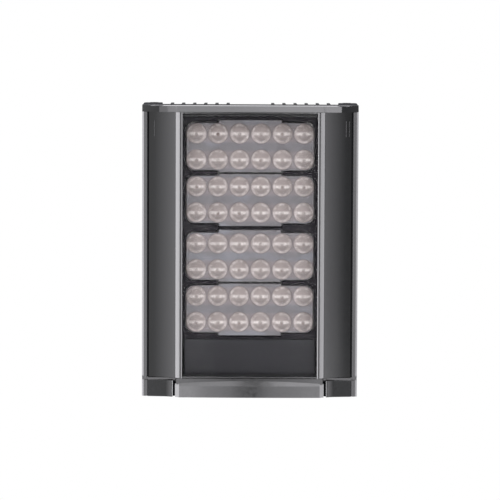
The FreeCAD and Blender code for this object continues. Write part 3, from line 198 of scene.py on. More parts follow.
# %% A finish and its pattern space
def finish(name):
    """A new material with its Principled shader and Object coordinates, ready for nodes."""
    made = bpy.data.materials.new(name)
    made.use_nodes = True
    tree = made.node_tree
    tree.nodes.clear()
    shader = add(tree, "ShaderNodeBsdfPrincipled")
    add(tree, "ShaderNodeOutputMaterial", {"Surface": shader.outputs[0]})
    space = add(tree, "ShaderNodeTexCoord").outputs["Object"]
    print("finish:", name)
    return made, tree, shader, space


def per_metre(size_mm):
    """The scale of a pattern whose features are this many millimetres across."""
    return 1 / (size_mm * MM)


def grain(tree, space, size_mm, stretch=(1, 1, 1), detail=3.0):
    """Soft irregular noise. stretch below 1 draws it out along an axis."""
    drawn = add(tree, "ShaderNodeMapping", {"Vector": space, "Scale": stretch})
    return add(tree, "ShaderNodeTexNoise", {"Vector": drawn.outputs[0], "Scale": per_metre(size_mm),
                                            "Detail": detail}).outputs["Fac"]


def between(tree, factor, low, high):
    """Turns noise of about 0.3 to 0.7 into a number between low and high."""
    return add(tree, "ShaderNodeMapRange", {"Value": factor, "From Min": 0.3, "From Max": 0.7, "To Min": low,
                                            "To Max": high}).outputs[0]


def two_tones(tree, factor, dark, pale):
    """Mixes two hex colours by a factor."""
    return add(tree, "ShaderNodeMix", {"Factor": factor, "A": linear(dark), "B": linear(pale)},
               data_type="RGBA").outputs["Result"]


def relief(tree, height, depth_mm, strength=1.0):
    """A bump normal from a height pattern."""
    return add(tree, "ShaderNodeBump", {"Height": height, "Distance": depth_mm * MM,
                                        "Strength": strength}).outputs[0]


def dress(material, *names):
    """Gives CAD nodes a finish."""
    for name in names:
        mesh = nodes[name].data
        mesh.materials.clear()
        mesh.materials.append(material)
    print(material.name, "on", len(names), "nodes")


print("a pattern of 2 mm has the scale", per_metre(2))

# %% Black polycarbonate, injection moulded and glossy
# A polished mould leaves a mirror skin with a faint slow ripple and a few fine dust hairlines.
gloss_black, tree, shader, space = finish("polycarbonate_gloss_moulded")
ripple = grain(tree, space, 14.0)
haze = grain(tree, space, 3.0)
shader.inputs["Base Color"].default_value = linear("#0e0f12")
shader.inputs["IOR"].default_value = 1.55
tree.links.new(between(tree, haze, 0.08, 0.14), shader.inputs["Roughness"])
tree.links.new(relief(tree, ripple, 0.02), shader.inputs["Normal"])

# %% Aluminium, extruded and anodised black
# Dye in the oxide layer gives a deep satin black. The die leaves long faint lines along the extrusion.
anodised, tree, shader, space = finish("aluminium_extruded_anodised_black")
lines = grain(tree, space, 1.2, (1, 1, 0.01))
patches = grain(tree, space, 30.0)
tree.links.new(two_tones(tree, patches, "#101012", "#18181b"), shader.inputs["Base Color"])
shader.inputs["Metallic"].default_value = 0.2
shader.inputs["Specular IOR Level"].default_value = 0.3
tree.links.new(between(tree, lines, 0.44, 0.56), shader.inputs["Roughness"])
tree.links.new(relief(tree, lines, 0.01), shader.inputs["Normal"])

# %% Aluminium, machined and powder coated black
# Baked powder flows into a fine soft orange peel, about one bump per millimetre.
coated, tree, shader, space = finish("aluminium_powder_coated_black")
peel = grain(tree, space, 0.9)
tree.links.new(two_tones(tree, peel, "#151618", "#1c1d20"), shader.inputs["Base Color"])
tree.links.new(between(tree, peel, 0.24, 0.34), shader.inputs["Roughness"])
tree.links.new(relief(tree, peel, 0.015), shader.inputs["Normal"])

# %% Aluminium, bead-blasted and coated matt
# The top of the lid is blasted before it is coated, so it scatters even the light that grazes it.
coated_matt, tree, shader, space = finish("aluminium_blasted_matt_coated_black")
blast = grain(tree, space, 0.3)
tree.links.new(two_tones(tree, blast, "#26272a", "#303135"), shader.inputs["Base Color"])
shader.inputs["Roughness"].default_value = 0.95
shader.inputs["Specular IOR Level"].default_value = 0.12
tree.links.new(relief(tree, blast, 0.02), shader.inputs["Normal"])

# %% Carrier, moulded in matt black
# A spark-eroded mould leaves an even fine grain that scatters the light into a dark grey.
carrier_black, tree, shader, space = finish("abs_moulded_fine_grain_black")
spark = grain(tree, space, 0.35)
cloud = grain(tree, space, 25.0)
tree.links.new(two_tones(tree, cloud, "#1e1b20", "#272429"), shader.inputs["Base Color"])
shader.inputs["Specular IOR Level"].default_value = 0.2
tree.links.new(between(tree, spark, 0.55, 0.65), shader.inputs["Roughness"])
tree.links.new(relief(tree, spark, 0.008), shader.inputs["Normal"])

# %% Cover, moulded in satin black
# The blank cover has a smoother skin than the carrier, so it mirrors the side boxes as a faint sheen.
cover_black, tree, shader, space = finish("abs_moulded_satin_black")
cloud = grain(tree, space, 30.0)
tree.links.new(two_tones(tree, cloud, "#333336", "#3b3b3f"), shader.inputs["Base Color"])
shader.inputs["Specular IOR Level"].default_value = 0.15
shader.inputs["Roughness"].default_value = 0.35

# %% Lens plates, moulded in acrylic
# Clear acrylic over white boards looks milky and grey. Here and there a board or pad shows through paler,
# and along each row of lenses it is warmer. UV "row" runs from -0.5 to 0.5 between the two rows.
def band(tree, value, low, high, first=0.0, last=1.0):
    """A soft step: first below low, last above high."""
    ends = {"Value": value, "From Min": low, "From Max": high, "To Min": first, "To Max": last}
    return add(tree, "ShaderNodeMapRange", ends, interpolation_type="SMOOTHSTEP").outputs[0]


def times(tree, a, b):
    """The product of two numbers or sockets."""
    return add(tree, "ShaderNodeMath", {0: a, 1: b}, operation="MULTIPLY").outputs[0]


def tint(tree, factor, under, hex_colour):
    """Lays a colour over another one by a factor."""
    return add(tree, "ShaderNodeMix", {"Factor": factor, "A": under, "B": linear(hex_colour)},
               data_type="RGBA").outputs["Result"]


lens_acrylic, tree, shader, space = finish("acrylic_plate_moulded")
milk = grain(tree, space, 9.0)
pale = grain(tree, space, 16.0, (0.6, 1, 1.3), 0.0)
tone = two_tones(tree, milk, "#797679", "#888589")
tone = tint(tree, times(tree, band(tree, pale, 0.5, 0.75), 0.5), tone, "#9a9da6")
place = add(tree, "ShaderNodeUVMap", uv_map="row").outputs[0]
up = add(tree, "ShaderNodeSeparateXYZ", {0: place}).outputs["Y"]
above = add(tree, "ShaderNodeMath", {0: up}, operation="ABSOLUTE").outputs[0]
off_row = add(tree, "ShaderNodeMath", {0: above, 1: 0.5}, operation="SUBTRACT").outputs[0]
off_row = add(tree, "ShaderNodeMath", {0: off_row}, operation="ABSOLUTE").outputs[0]
tone = tint(tree, times(tree, band(tree, off_row, 0.4, 0.26), 0.75), tone, "#9b9192")
tree.links.new(tone, shader.inputs["Base Color"])
shader.inputs["IOR"].default_value = 1.49
shader.inputs["Roughness"].default_value = 0.18

# %% Lenses, moulded in acrylic
# The lens is opaque here. Its colour is a warm pale disc, and the light and shade that a real lens gathers
# from the emitter and the board round it are painted in: a painted dark dot in the middle with a painted
# highlight streak on both sides, painted shade low in the disc, a painted shaded hollow and painted
# reflection rings in its lower half, a painted highlight ring near its edge and painted shade at the edge
# where it turns away. UV "lens" runs from -1 to 1 across each lens.
lens_disc, tree, shader, space = finish("acrylic_lens_painted_light")
place = add(tree, "ShaderNodeUVMap", uv_map="lens").outputs[0]
across = add(tree, "ShaderNodeSeparateXYZ", {0: place})
reach = add(tree, "ShaderNodeVectorMath", {0: place}, operation="LENGTH").outputs["Value"]
cloud = grain(tree, space, 5.0)
speck = grain(tree, space, 1.6)
tone = two_tones(tree, cloud, "#a69a97", "#c7bbb7")
# Painted reflection: faint pale rings in the lower half of the lens.
rings = add(tree, "ShaderNodeTexWave", {"Vector": place, "Scale": 1.9, "Distortion": 0.6, "Detail": 1.0},
            wave_type="RINGS", rings_direction="Z").outputs["Fac"]
lower = band(tree, across.outputs["Y"], 0.0, -0.35)
painted_rings = times(tree, times(tree, band(tree, rings, 0.6, 0.95), lower), 0.6)
tone = tint(tree, painted_rings, tone, "#d8cfca")
# Painted highlight: a pale streak at mid-height on both sides of the middle.
height = add(tree, "ShaderNodeMath", {0: across.outputs["Y"]}, operation="ABSOLUTE").outputs[0]
painted_streak = times(tree, band(tree, height, 0.24, 0.04), band(tree, reach, 1.0, 0.5))
tone = tint(tree, times(tree, painted_streak, between(tree, speck, 0.5, 1.2)), tone, "#fbf4f0")
# Painted shade low in the disc, and a painted dark dot in the middle where the emitter would show.
PAINTED_DARK_SPOTS = [((0.05, -0.5, 0.0), 0.42, 0.2, 0.7, "#8c8482"), ((0.0, -0.04, 0.0), 0.26, 0.08, 1.0, "#7f6f69")]
for spot, outer, inner, most, hex_colour in PAINTED_DARK_SPOTS:
    away = add(tree, "ShaderNodeVectorMath", {0: place, 1: spot}, operation="DISTANCE").outputs["Value"]
    tone = tint(tree, times(tree, band(tree, away, outer, inner), between(tree, cloud, 0.2, most)), tone,
                hex_colour)
# Painted highlight: a pale ring near the edge of the lens.
painted_pale_edge = times(tree, band(tree, reach, 0.62, 0.8), band(tree, reach, 0.95, 0.86))
tone = tint(tree, times(tree, painted_pale_edge, between(tree, grain(tree, space, 4.0), -0.4, 1.2)), tone, "#ebe3e0")
# Painted shade: a darker hollow in the lower half of the lens.
painted_hollow = times(tree, band(tree, reach, 0.34, 0.46), band(tree, reach, 0.68, 0.56))
tone = tint(tree, times(tree, times(tree, painted_hollow, lower), 0.55), tone, "#958c89")
# Painted shade: the edge of the lens darkens where it turns away.
tone = tint(tree, times(tree, band(tree, reach, 0.9, 1.0), 0.7), tone, "#8f8688")
tree.links.new(tone, shader.inputs["Base Color"])
forward = add(tree, "ShaderNodeVectorTransform", {0: (0.0, -1.0, 0.0)}, vector_type="NORMAL",
              convert_from="OBJECT", convert_to="WORLD").outputs[0]
true_normal = add(tree, "ShaderNodeNewGeometry").outputs["Normal"]
calm = add(tree, "ShaderNodeMix", {"Factor": 0.15, "A": forward, "B": true_normal},
           data_type="VECTOR").outputs["Result"]
tree.links.new(calm, shader.inputs["Normal"])
shader.inputs["Specular IOR Level"].default_value = 0.0
shader.inputs["Roughness"].default_value = 0.5
shader.inputs["Coat Weight"].default_value = 0.6
shader.inputs["Coat Roughness"].default_value = 0.3
shader.inputs["Coat IOR"].default_value = 1.49

# %% Clear sheets
# Two polished sheets of clear polycarbonate mirror a little of the tent and let the rest through.
clear_sheet, tree, shader, space = finish("polycarbonate_sheet_clear")
smear = grain(tree, space, 22.0)
shader.inputs["Base Color"].default_value = linear("#1c1d20")
shader.inputs["IOR"].default_value = 1.585
tree.links.new(between(tree, smear, 0.02, 0.05), shader.inputs["Roughness"])
shader.inputs["Alpha"].default_value = 0.02

# %% Boards, emitters and small parts
def speckled(name, size_mm, dark, pale, roughness, specular=0.5):
    """A finish whose colour wanders between two tones in grains of this size."""
    made, tree, shader, space = finish(name)
    tree.links.new(two_tones(tree, grain(tree, space, size_mm), dark, pale), shader.inputs["Base Color"])
    shader.inputs["Roughness"].default_value = roughness
    shader.inputs["Specular IOR Level"].default_value = specular
    return made


def bare_metal(name, size_mm, colour, low, high):
    """A metal whose roughness wanders between low and high in grains of this size."""
    made, tree, shader, space = finish(name)
    shader.inputs["Base Color"].default_value = linear(colour)
    shader.inputs["Metallic"].default_value = 1.0
    tree.links.new(between(tree, grain(tree, space, size_mm), low, high), shader.inputs["Roughness"])
    return made


board_white = speckled("aluminium_board_white_mask", 4.0, "#d9dad6", "#e6e7e3", 0.35)
board_green = speckled("fibreglass_board_green_mask", 2.0, "#123c22", "#1d5430", 0.3)
emitter = speckled("ceramic_emitter_with_silicone_dome", 1.0, "#6a5a4c", "#8a7866", 0.2)
rubber = speckled("silicone_rubber_moulded", 1.5, "#1a1a1b", "#242425", 0.75)
thermal = speckled("thermal_pad_filled_silicone", 1.0, "#8d9499", "#a3aaae", 0.8)
nylon = speckled("nylon_moulded_black", 0.6, "#161617", "#202021", 0.42)
ferrite = speckled("ferrite_sintered", 0.4, "#1f2022", "#2c2d30", 0.6)
stainless = bare_metal("stainless_steel_cold_formed", 0.5, "#b9b7b2", 0.22, 0.36)
can = bare_metal("aluminium_can_drawn", 0.8, "#c9cacc", 0.25, 0.4)
black_steel = speckled("steel_screw_black_oxide", 0.5, "#141415", "#1e1e20", 0.6, specular=0.3)

# %% Dress the CAD nodes
dress(anodised, "heatsink_housing")
dress(coated, "top_end_cap", "bottom_end_cap", "pivot_block", "yoke_bracket")
dress(gloss_black, "front_fascia", "bottom_trim")
dress(clear_sheet, "window_pane", "diffuser_insert")
dress(carrier_black, "led_carrier", "driver_cover")
dress(lens_acrylic, "lens_array_1", "lens_array_2", "lens_array_3", "lens_array_4")
dress(board_white, "led_board_upper", "led_board_lower")
dress(board_green, "driver_board", "terminal_board")
dress(emitter, "led_emitters_upper", "led_emitters_lower")
dress(rubber, "top_cap_gasket", "bottom_cap_gasket", "fascia_gasket", "window_gasket", "gland_rubber",
      "gland_washer")
dress(thermal, "thermal_pad_upper", "thermal_pad_lower")
dress(black_steel, "top_cap_screws", "bottom_cap_screws", "carrier_screws")
dress(stainless, "trim_screws", "led_board_screws", "driver_screws", "board_standoffs", "block_screws",
      "channel_nut_plate", "pivot_bolt", "pivot_washers", "pivot_nut", "tilt_lock_screws",
      "tilt_lock_washers")
dress(nylon, "terminal_block", "gland_body", "gland_locknut", "gland_cap_nut")
dress(ferrite, "driver_inductors")
dress(can, "driver_capacitors")
bare = [name for name, piece in nodes.items() if len(piece.data.materials) != 1]
print("nodes without one finish:", bare)

# %% [markdown]
# ## Tools for the fine pieces
# A moulding is a drawn outline pulled out to a length. In bmesh that is a closed loop of edges, one face
# and one extrude. Where the outline bows, a point is spun about the bow's centre, which gives an even arc.

# %% Draw an outline
def draw_loop(bm, points, bows=None, steps=14):
    """A closed loop in the XY plane, in mm. bows gives a side's rise to its right, by its first point."""
    bows = bows or {}
    corners = [bm.verts.new((x * MM, y * MM, 0)) for x, y in points]
    for i, start in enumerate(corners):
        end = corners[(i + 1) % len(corners)]
        if i not in bows:
            bm.edges.new((start, end))
            continue
        rise = abs(bows[i]) * MM
        side = 1 if bows[i] > 0 else -1
        chord = end.co - start.co
        half = chord.length / 2
        radius = (half * half + rise * rise) / (2 * rise)
        right = chord.normalized().cross(Vector((0, 0, 1))) * side
        centre = (start.co + end.co) / 2 - right * (radius - rise)
        spun = bmesh.ops.spin(bm, geom=[start], cent=centre, axis=(0, 0, 1), steps=steps,
                              angle=2 * math.asin(min(1, half / radius)) * side)
        last = [item for item in spun["geom_last"] if isinstance(item, bmesh.types.BMVert)][0]
        bmesh.ops.weld_verts(bm, targetmap={last: end})


def outline(bm, points, bows=None, steps=14):
    """A closed loop, filled with one face."""
    draw_loop(bm, points, bows, steps)
    return bmesh.ops.contextual_create(bm, geom=bm.edges)["faces"]


def mirrored(half):
    """A right-hand half outline and its mirror image, as one closed outline."""
    return half + [(-x, y) for x, y in reversed(half)]


def pull(bm, faces, height):
    """Extrudes faces along Z by height in mm."""
    grown = bmesh.ops.extrude_face_region(bm, geom=faces, use_keep_orig=True)["geom"]
    moved = [item for item in grown if isinstance(item, bmesh.types.BMVert)]
    bmesh.ops.translate(bm, vec=(0, 0, height * MM), verts=moved)


def block(bm, low, high):
    """A box between two corners in mm. Returns its vertices."""
    made = bmesh.ops.create_cube(bm, size=1.0)["verts"]
    size = [(b - a) * MM for a, b in zip(low, high)]
    middle = [(a + b) / 2 * MM for a, b in zip(low, high)]
    bmesh.ops.scale(bm, vec=size, verts=made)
    bmesh.ops.translate(bm, vec=middle, verts=made)
    return made


def block_pair(bm, low, high):
    """A box on the right between two corners in mm and its mirror image on the left: all the vertices."""
    left = block(bm, (-high[0], *low[1:]), (-low[0], *high[1:]))
    return left + block(bm, low, high)


def round_off(bm, edges, width, segments=4):
    """Rounds edges with a bevel of this width in mm."""
    bmesh.ops.bevel(bm, geom=list(edges), offset=width * MM, offset_type="OFFSET", segments=segments,
                    profile=0.5, affect="EDGES", material=-1, clamp_overlap=True)


def upright_edges(bm, x, y, reach=0.05):
    """The edges that stand along Z at x, y in mm."""
    found = []
    for edge in bm.edges:
        a, b = (v.co / MM for v in edge.verts)
        if all(abs(c.x - x) < reach and abs(c.y - y) < reach for c in (a, b)) and abs(a.z - b.z) > reach:
            found.append(edge)
    return found


# %% Turn a bmesh into a piece of the head
def piece(name, bm, material, slot, *replaced, body="head", crease=35):
    """Writes bm to a new object that rides on body. Edges sharper than crease stay sharp in the shading."""
    bmesh.ops.remove_doubles(bm, verts=bm.verts, dist=0.002 * MM)
    bmesh.ops.recalc_face_normals(bm, faces=bm.faces)
    for face in bm.faces:
        face.smooth = True
    for edge in bm.edges:
        edge.smooth = len(edge.link_faces) == 2 and edge.calc_face_angle() < math.radians(crease)
    mesh = bpy.data.meshes.new(name)
    bm.to_mesh(mesh)
    bm.free()
    mesh.materials.append(material)
    made = bpy.data.objects.new(name, mesh)
    bpy.context.scene.collection.objects.link(made)
    even = made.modifiers.new("even_shading", "WEIGHTED_NORMAL")
    even.weight = 100
    even.keep_sharp = True
    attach(made, body)
    if replaced:
        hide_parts(*replaced)
    low, high = (Vector(corner) / MM for corner in (made.bound_box[0], made.bound_box[6]))
    print(name, len(mesh.polygons), "faces", [round(v, 1) for v in (*low, *high)])
    return made


# %% [markdown]
# ## Front moulding
# The glossy front is one injection moulding: an outer rim, wings that sweep back to the sides, and a raised
# rail on each side of the window. Light runs along it in upright bands, so what matters is the slope of
# each face across the width. One half is drawn, pulled up to its height and mirrored.

# %% Levels of the head, in mm
CREST, RIM, FLANGE = -145.0, -135.0, -131.0
HEAD_HALF, RAIL, WINDOW = 90.0, 61.9, 56.3
FASCIA_LOW, FASCIA_HIGH = -105.9, 116.1
BOTTOM, TOP = -121.9, 121.9
TRIM_TOP, LEDGE_TOP = -108.0, -106.2

# %% Front moulding
SLOT, SLOT_BACK, LEDGE = CREST + 1.5, CREST + 4.1, CREST + 5.9
WING_HALF = [
    (WINDOW, CREST + 0.65), (WINDOW + 0.8, CREST), (WINDOW + 1.0, CREST), (WINDOW + 1.15, CREST + 0.5),
    (WINDOW + 1.45, CREST + 0.5), (WINDOW + 1.55, CREST + 0.32), (RAIL, CREST + 3.4), (85.3, RIM + 2.5),
    (85.3, RIM + 0.6), (85.9, RIM), (87.0, RIM), (87.3, RIM + 0.4), (88.6, RIM + 0.4), (HEAD_HALF, RIM + 1.6),
    (HEAD_HALF, FLANGE), (74.0, FLANGE), (74.0, FLANGE - 2.1),
    (63.4, CREST + 6.6), (63.4, FLANGE), (61.0, FLANGE), (61.0, LEDGE), (WINDOW, LEDGE),
    (WINDOW, SLOT_BACK), (58.6, SLOT_BACK), (58.6, SLOT), (WINDOW, SLOT)]
RAIL_BOW, WING_BOW = 0.12, -0.9

bm = bmesh.new()
pull(bm, outline(bm, WING_HALF, {5: RAIL_BOW, 6: WING_BOW}), FASCIA_HIGH - FASCIA_LOW)
low_edges = [e for e in bm.edges if all(v.co.z < 0.01 * MM and v.co.y < (RIM + 2.55) * MM for v in e.verts)
             and all(WINDOW + 1.35 < v.co.x / MM < 85.4 for v in e.verts)]
round_off(bm, low_edges, 0.7, 1)
bmesh.ops.translate(bm, vec=(0, 0, FASCIA_LOW * MM), verts=bm.verts)
bmesh.ops.mirror(bm, geom=bm.verts[:] + bm.edges[:] + bm.faces[:], matrix=Matrix.Identity(4), axis="X",
                 merge_dist=0)
FRAME_BOTTOM, FRAME_TOP = -114.9, 115.4
block(bm, (-88, FLANGE - 1.5, FRAME_BOTTOM), (88, FLANGE, FRAME_BOTTOM + 6))
block(bm, (-88, FLANGE - 1.5, FRAME_TOP - 3), (88, FLANGE, FRAME_TOP))
block_pair(bm, (61.3, FLANGE - 1.5, FRAME_BOTTOM + 6), (88, FLANGE, FRAME_TOP - 3))
for level in (FASCIA_LOW, FASCIA_HIGH - 1.2):
    block(bm, (-62, SLOT_BACK, level), (62, FLANGE, level + 1.2))
block_pair(bm, (86.2, RIM + 0.2, TRIM_TOP + 0.3), (89.8, FLANGE, FASCIA_LOW + 1))
GRIP_LOW, GRIP_HIGH, GRIP_RIBS = 95.6, 109.1, (-79.6, 79.6, 82.2)
for x in GRIP_RIBS:
    rib = block(bm, (x - 0.55, RIM + 0.6, GRIP_LOW), (x + 0.55, RIM + 3.3, GRIP_HIGH))
    corner = [edge for edge in {e for v in rib for e in v.link_edges}
              if all(v.co.y < (RIM + 1) * MM for v in edge.verts)]
    round_off(bm, corner, 0.5, 4)
piece("front_moulding", bm, gloss_black, "gloss_black", "front_fascia")

# %% [markdown]
# ## Top lid
# The lid crowns the moulding. Its front leans back, so it mirrors the boxes that hang above, and its corners
# sweep round to the sides, where they mirror nothing but the tent and stay dark.

# %% Top lid
LID_LOW = 116.4
LID_PLAN = [(-75, CREST), (75, CREST), (HEAD_HALF, RIM), (HEAD_HALF, -84.0), (87.5, -81.5), (74.3, -81.5),
            (74.3, -113.3), (-74.3, -113.3), (-74.3, -81.5), (-87.5, -81.5), (-HEAD_HALF, -84.0),
            (-HEAD_HALF, RIM)]
LID_BOW = 1.3
LID_LEAN = 3.0
LIP_DEPTH = 4.0

bm = bmesh.new()
pull(bm, outline(bm, LID_PLAN, {1: LID_BOW, 11: LID_BOW}), TOP - LID_LOW - 0.2)
bmesh.ops.translate(bm, vec=(0, 0, LID_LOW * MM), verts=bm.verts)
front = [v for v in bm.verts if v.co.y < (RIM + 0.1) * MM]
bmesh.ops.translate(bm, vec=(0, (LID_LEAN + 0.4) * MM, 0), verts=front)
rim_edges = [e for e in bm.edges if all(v.co.z > (TOP - 0.3) * MM for v in e.verts)]
round_off(bm, rim_edges, 0.5, 3)
piece("top_lid", bm, coated_matt, "coated_black", "top_end_cap")

# %% Lid's front lip
# Its polished face leans back. The edge above the face is broken at half a right angle.
LIP_HALF = [(60, CREST + 0.15), (76, CREST + 1.1), (HEAD_HALF, RIM), (HEAD_HALF, RIM + LIP_DEPTH),
            (76, CREST + LIP_DEPTH + 1.2)]
bm = bmesh.new()
pull(bm, outline(bm, mirrored(LIP_HALF), {0: 0.5, 1: 1.1, 7: 1.1, 8: 0.5}), TOP - LID_LOW)
bmesh.ops.translate(bm, vec=(0, 0, LID_LOW * MM), verts=bm.verts)
face_top = [v for v in bm.verts if v.co.z > (TOP - 0.1) * MM and v.co.y < (RIM + 0.1) * MM
            and v not in [w for x in (-76, 76) for e in upright_edges(bm, x, CREST + LIP_DEPTH + 1.2)
                          for w in e.verts]]
bmesh.ops.translate(bm, vec=(0, LID_LEAN * MM, 0), verts=face_top)
edge_top = [e for e in bm.edges if all(v in face_top for v in e.verts)]
round_off(bm, edge_top, 0.65, 1)
piece("lid_front_lip", bm, gloss_black, "coated_black", "top_end_cap", crease=25)

# %% [markdown]
# ## Bottom trim
# The strip below the window comes off with two screws, so that the sheet can be slid out. Its front is a
# slightly bowed panel whose sides and top slope back. A groove parts it from two pads that carry the wings'
# sweep down to the lower edge. The pads start steep beside the groove, where they mirror the lamps at their
# side. The groove's floor leans inwards, so it mirrors only the panel's dark flank.

# %% Bottom trim
PANEL, GROOVE, PAD = RAIL + 0.2, RAIL + 2.1, 85.0
PANEL_HALF = [(PANEL - 3.4, CREST + 1.2), (PANEL, CREST + 4.0), (PANEL, FLANGE)]
CROWN = 1.2
PAD_PLAN = [
    (GROOVE, FLANGE), (GROOVE, CREST + 4.3), (GROOVE + 7.0, CREST + 7.5), (PAD, RIM - 0.8), (PAD + 0.4, RIM),
    (PAD + 0.4, RIM + 1.2), (PAD + 1.0, RIM + 1.2), (PAD + 1.0, RIM), (87.2, RIM), (87.5, RIM + 0.4),
    (88.6, RIM + 0.4), (HEAD_HALF, RIM + 1.6), (HEAD_HALF, FLANGE)]
TRIM_SLOPE, TRIM_DROP = 4.3, 2.5

bm = bmesh.new()
pull(bm, outline(bm, PAD_PLAN, {1: -0.35}), TRIM_TOP - BOTTOM)
upper = [e for e in bm.edges if all(v.co.z > (TRIM_TOP - BOTTOM - 0.01) * MM and v.co.y < (RIM + 0.2) * MM
                                    for v in e.verts)]
round_off(bm, upper, 0.8, 3)
bmesh.ops.mirror(bm, geom=bm.verts[:] + bm.edges[:] + bm.faces[:], matrix=Matrix.Identity(4), axis="X",
                 merge_dist=0)
panel = bmesh.new()
pull(panel, outline(panel, mirrored(PANEL_HALF), {5: CROWN}), TRIM_TOP - BOTTOM)
bmesh.ops.bisect_plane(panel, geom=panel.verts[:] + panel.edges[:] + panel.faces[:], dist=1e-6,
                       plane_co=(0, 0, (TRIM_TOP - BOTTOM - TRIM_SLOPE) * MM), plane_no=(0, 0, 1))
top_front = [v for v in panel.verts if v.co.z > (TRIM_TOP - BOTTOM - 0.01) * MM
             and v.co.y < (FLANGE - 0.5) * MM]
bmesh.ops.translate(panel, vec=(0, TRIM_DROP * MM, 0), verts=top_front)
joined = bpy.data.meshes.new("trim_panel")
panel.to_mesh(joined)
panel.free()
bm.from_mesh(joined)
bpy.data.meshes.remove(joined)
bmesh.ops.translate(bm, vec=(0, 0, BOTTOM * MM), verts=bm.verts)
groove_floor = block_pair(bm, (PANEL - 1, CREST + 6.0, BOTTOM + 0.5), (GROOVE + 1, FLANGE, TRIM_TOP - 0.5))
inner_front = [v for v in groove_floor if abs(v.co.x) < PANEL * MM and v.co.y < (FLANGE - 0.5) * MM]
bmesh.ops.translate(bm, vec=(0, 2.5 * MM, 0), verts=inner_front)
block(bm, (-PANEL + 1, CREST + 2.4, TRIM_TOP - 3), (PANEL - 1, FLANGE, LEDGE_TOP))
block_pair(bm, (PANEL, RIM - 0.3, TRIM_TOP - 3), (PAD, FLANGE, LEDGE_TOP))
piece("trim_moulding", bm, gloss_black, "gloss_black", "bottom_trim", crease=28)

# %% [markdown]
# ## Lens arrays, carrier and cover
# These stand upright, so each outline is drawn flat, pulled, and then stood up to face the front. A lens is
# an arc spun about its own axis. Twelve copies make an array.

# %% Tools for the upright pieces
def soft_corners(points, radius, special=None):
    """Cuts each right-angled corner of an outline that runs anticlockwise. Returns the points and bows."""
    special = special or {}
    cut, bows = [], {}
    for i, point in enumerate(points):
        r = special.get(i, radius)
        here, before, after = Vector(point), Vector(points[i - 1]), Vector(points[(i + 1) % len(points)])
        back, on = (before - here).normalized(), (after - here).normalized()
        turn = -back.x * on.y + back.y * on.x
        bows[len(cut)] = math.copysign(r * (1 - math.cos(math.radians(45))), turn)
        cut += [tuple(here + back * r), tuple(here + on * r)]
    return cut, bows


def stand_up(bm, back):
    """Stands a flat drawing up, with its underside at this depth in mm and its top to the front."""
    bmesh.ops.rotate(bm, cent=(0, 0, 0), matrix=Matrix.Rotation(math.radians(90), 3, "X"), verts=bm.verts)
    bmesh.ops.translate(bm, vec=(0, back * MM, 0), verts=bm.verts)


def front_edges(bm, front):
    """The edges that lie in the front plane and border it."""
    return [e for e in bm.edges if all(abs(v.co.y / MM - front) < 0.01 for v in e.verts)
            and any(abs(f.normal.y) < 0.5 for f in e.link_faces)]


print("a square's four corners, cut and bowed:", soft_corners([(0, 0), (10, 0), (10, 10), (0, 10)], 2)[1])

# %% Lens arrays
PITCH_X, PITCH_Z, DOME, RISE = 17.9, 21.7, 8.6, 3.4
PLATE_BACK, PLATE = -128.5, -130.5
ARRAY_X, ARRAY_Z, ARRAY_CORNER = 53.2, 19.9, 7.0
TAB_X, OUTER_TAB, INNER_TAB = 26.2, 2.5, 1.4
ROWS = (87.1, 42.9, -4.7, -48.9)
SPHERE = (DOME * DOME + RISE * RISE) / (2 * RISE)

for number, middle in enumerate(ROWS, 1):
    up, down = (OUTER_TAB, INNER_TAB) if number % 2 else (INNER_TAB, OUTER_TAB)
    low, high = middle - ARRAY_Z, middle + ARRAY_Z
    corners = [(-ARRAY_X, low), (-TAB_X, low), (-TAB_X, low - down), (TAB_X, low - down), (TAB_X, low),
               (ARRAY_X, low), (ARRAY_X, high), (TAB_X, high), (TAB_X, high + up), (-TAB_X, high + up),
               (-TAB_X, high), (-ARRAY_X, high)]
    points, bows = soft_corners(corners, 0.6, {0: ARRAY_CORNER, 5: ARRAY_CORNER, 6: ARRAY_CORNER,
                                               11: ARRAY_CORNER})
    bm = bmesh.new()
    pull(bm, outline(bm, points, bows, 8), PLATE_BACK - PLATE)
    stand_up(bm, PLATE_BACK)
    bm.normal_update()
    round_off(bm, front_edges(bm, PLATE), 0.5, 3)
    uv = bm.loops.layers.uv.new("row")
    for face in bm.faces:
        for loop in face.loops:
            loop[uv].uv = (loop.vert.co.x / MM / PITCH_X, (loop.vert.co.z / MM - middle) / PITCH_Z)
    piece("lens_plate_%d" % number, bm, lens_acrylic, "lens_acrylic", "lens_array_%d" % number)

    bm = bmesh.new()
    rim_angle = math.asin(DOME / SPHERE)
    apex = bm.verts.new((0, (PLATE - RISE) * MM, 0))
    bmesh.ops.spin(bm, geom=[apex], cent=(0, (PLATE - RISE + SPHERE) * MM, 0), axis=(1, 0, 0),
                   angle=-rim_angle, steps=10)
    bmesh.ops.spin(bm, geom=bm.verts[:] + bm.edges[:], cent=(0, 0, 0), axis=(0, 1, 0),
                   angle=math.tau, steps=48, use_merge=True)
    bmesh.ops.remove_doubles(bm, verts=bm.verts, dist=0.002 * MM)
    uv = bm.loops.layers.uv.new("lens")
    for face in bm.faces:
        for loop in face.loops:
            loop[uv].uv = (loop.vert.co.x / MM / DOME, loop.vert.co.z / MM / DOME)
    first = bm.verts[:] + bm.edges[:] + bm.faces[:]
    for column in range(6):
        for row in (-0.5, 0.5):
            if column or row > 0:
                copied = bmesh.ops.duplicate(bm, geom=first)["geom"]
                moved = [item for item in copied if isinstance(item, bmesh.types.BMVert)]
                bmesh.ops.translate(bm, vec=(PITCH_X * column * MM, 0, PITCH_Z * (row + 0.5) * MM),
                                    verts=moved)
    bmesh.ops.translate(bm, vec=(-2.5 * PITCH_X * MM, 0, (middle - PITCH_Z / 2) * MM), verts=bm.verts)
    piece("lens_discs_%d" % number, bm, lens_disc, "lens_acrylic", "lens_array_%d" % number)

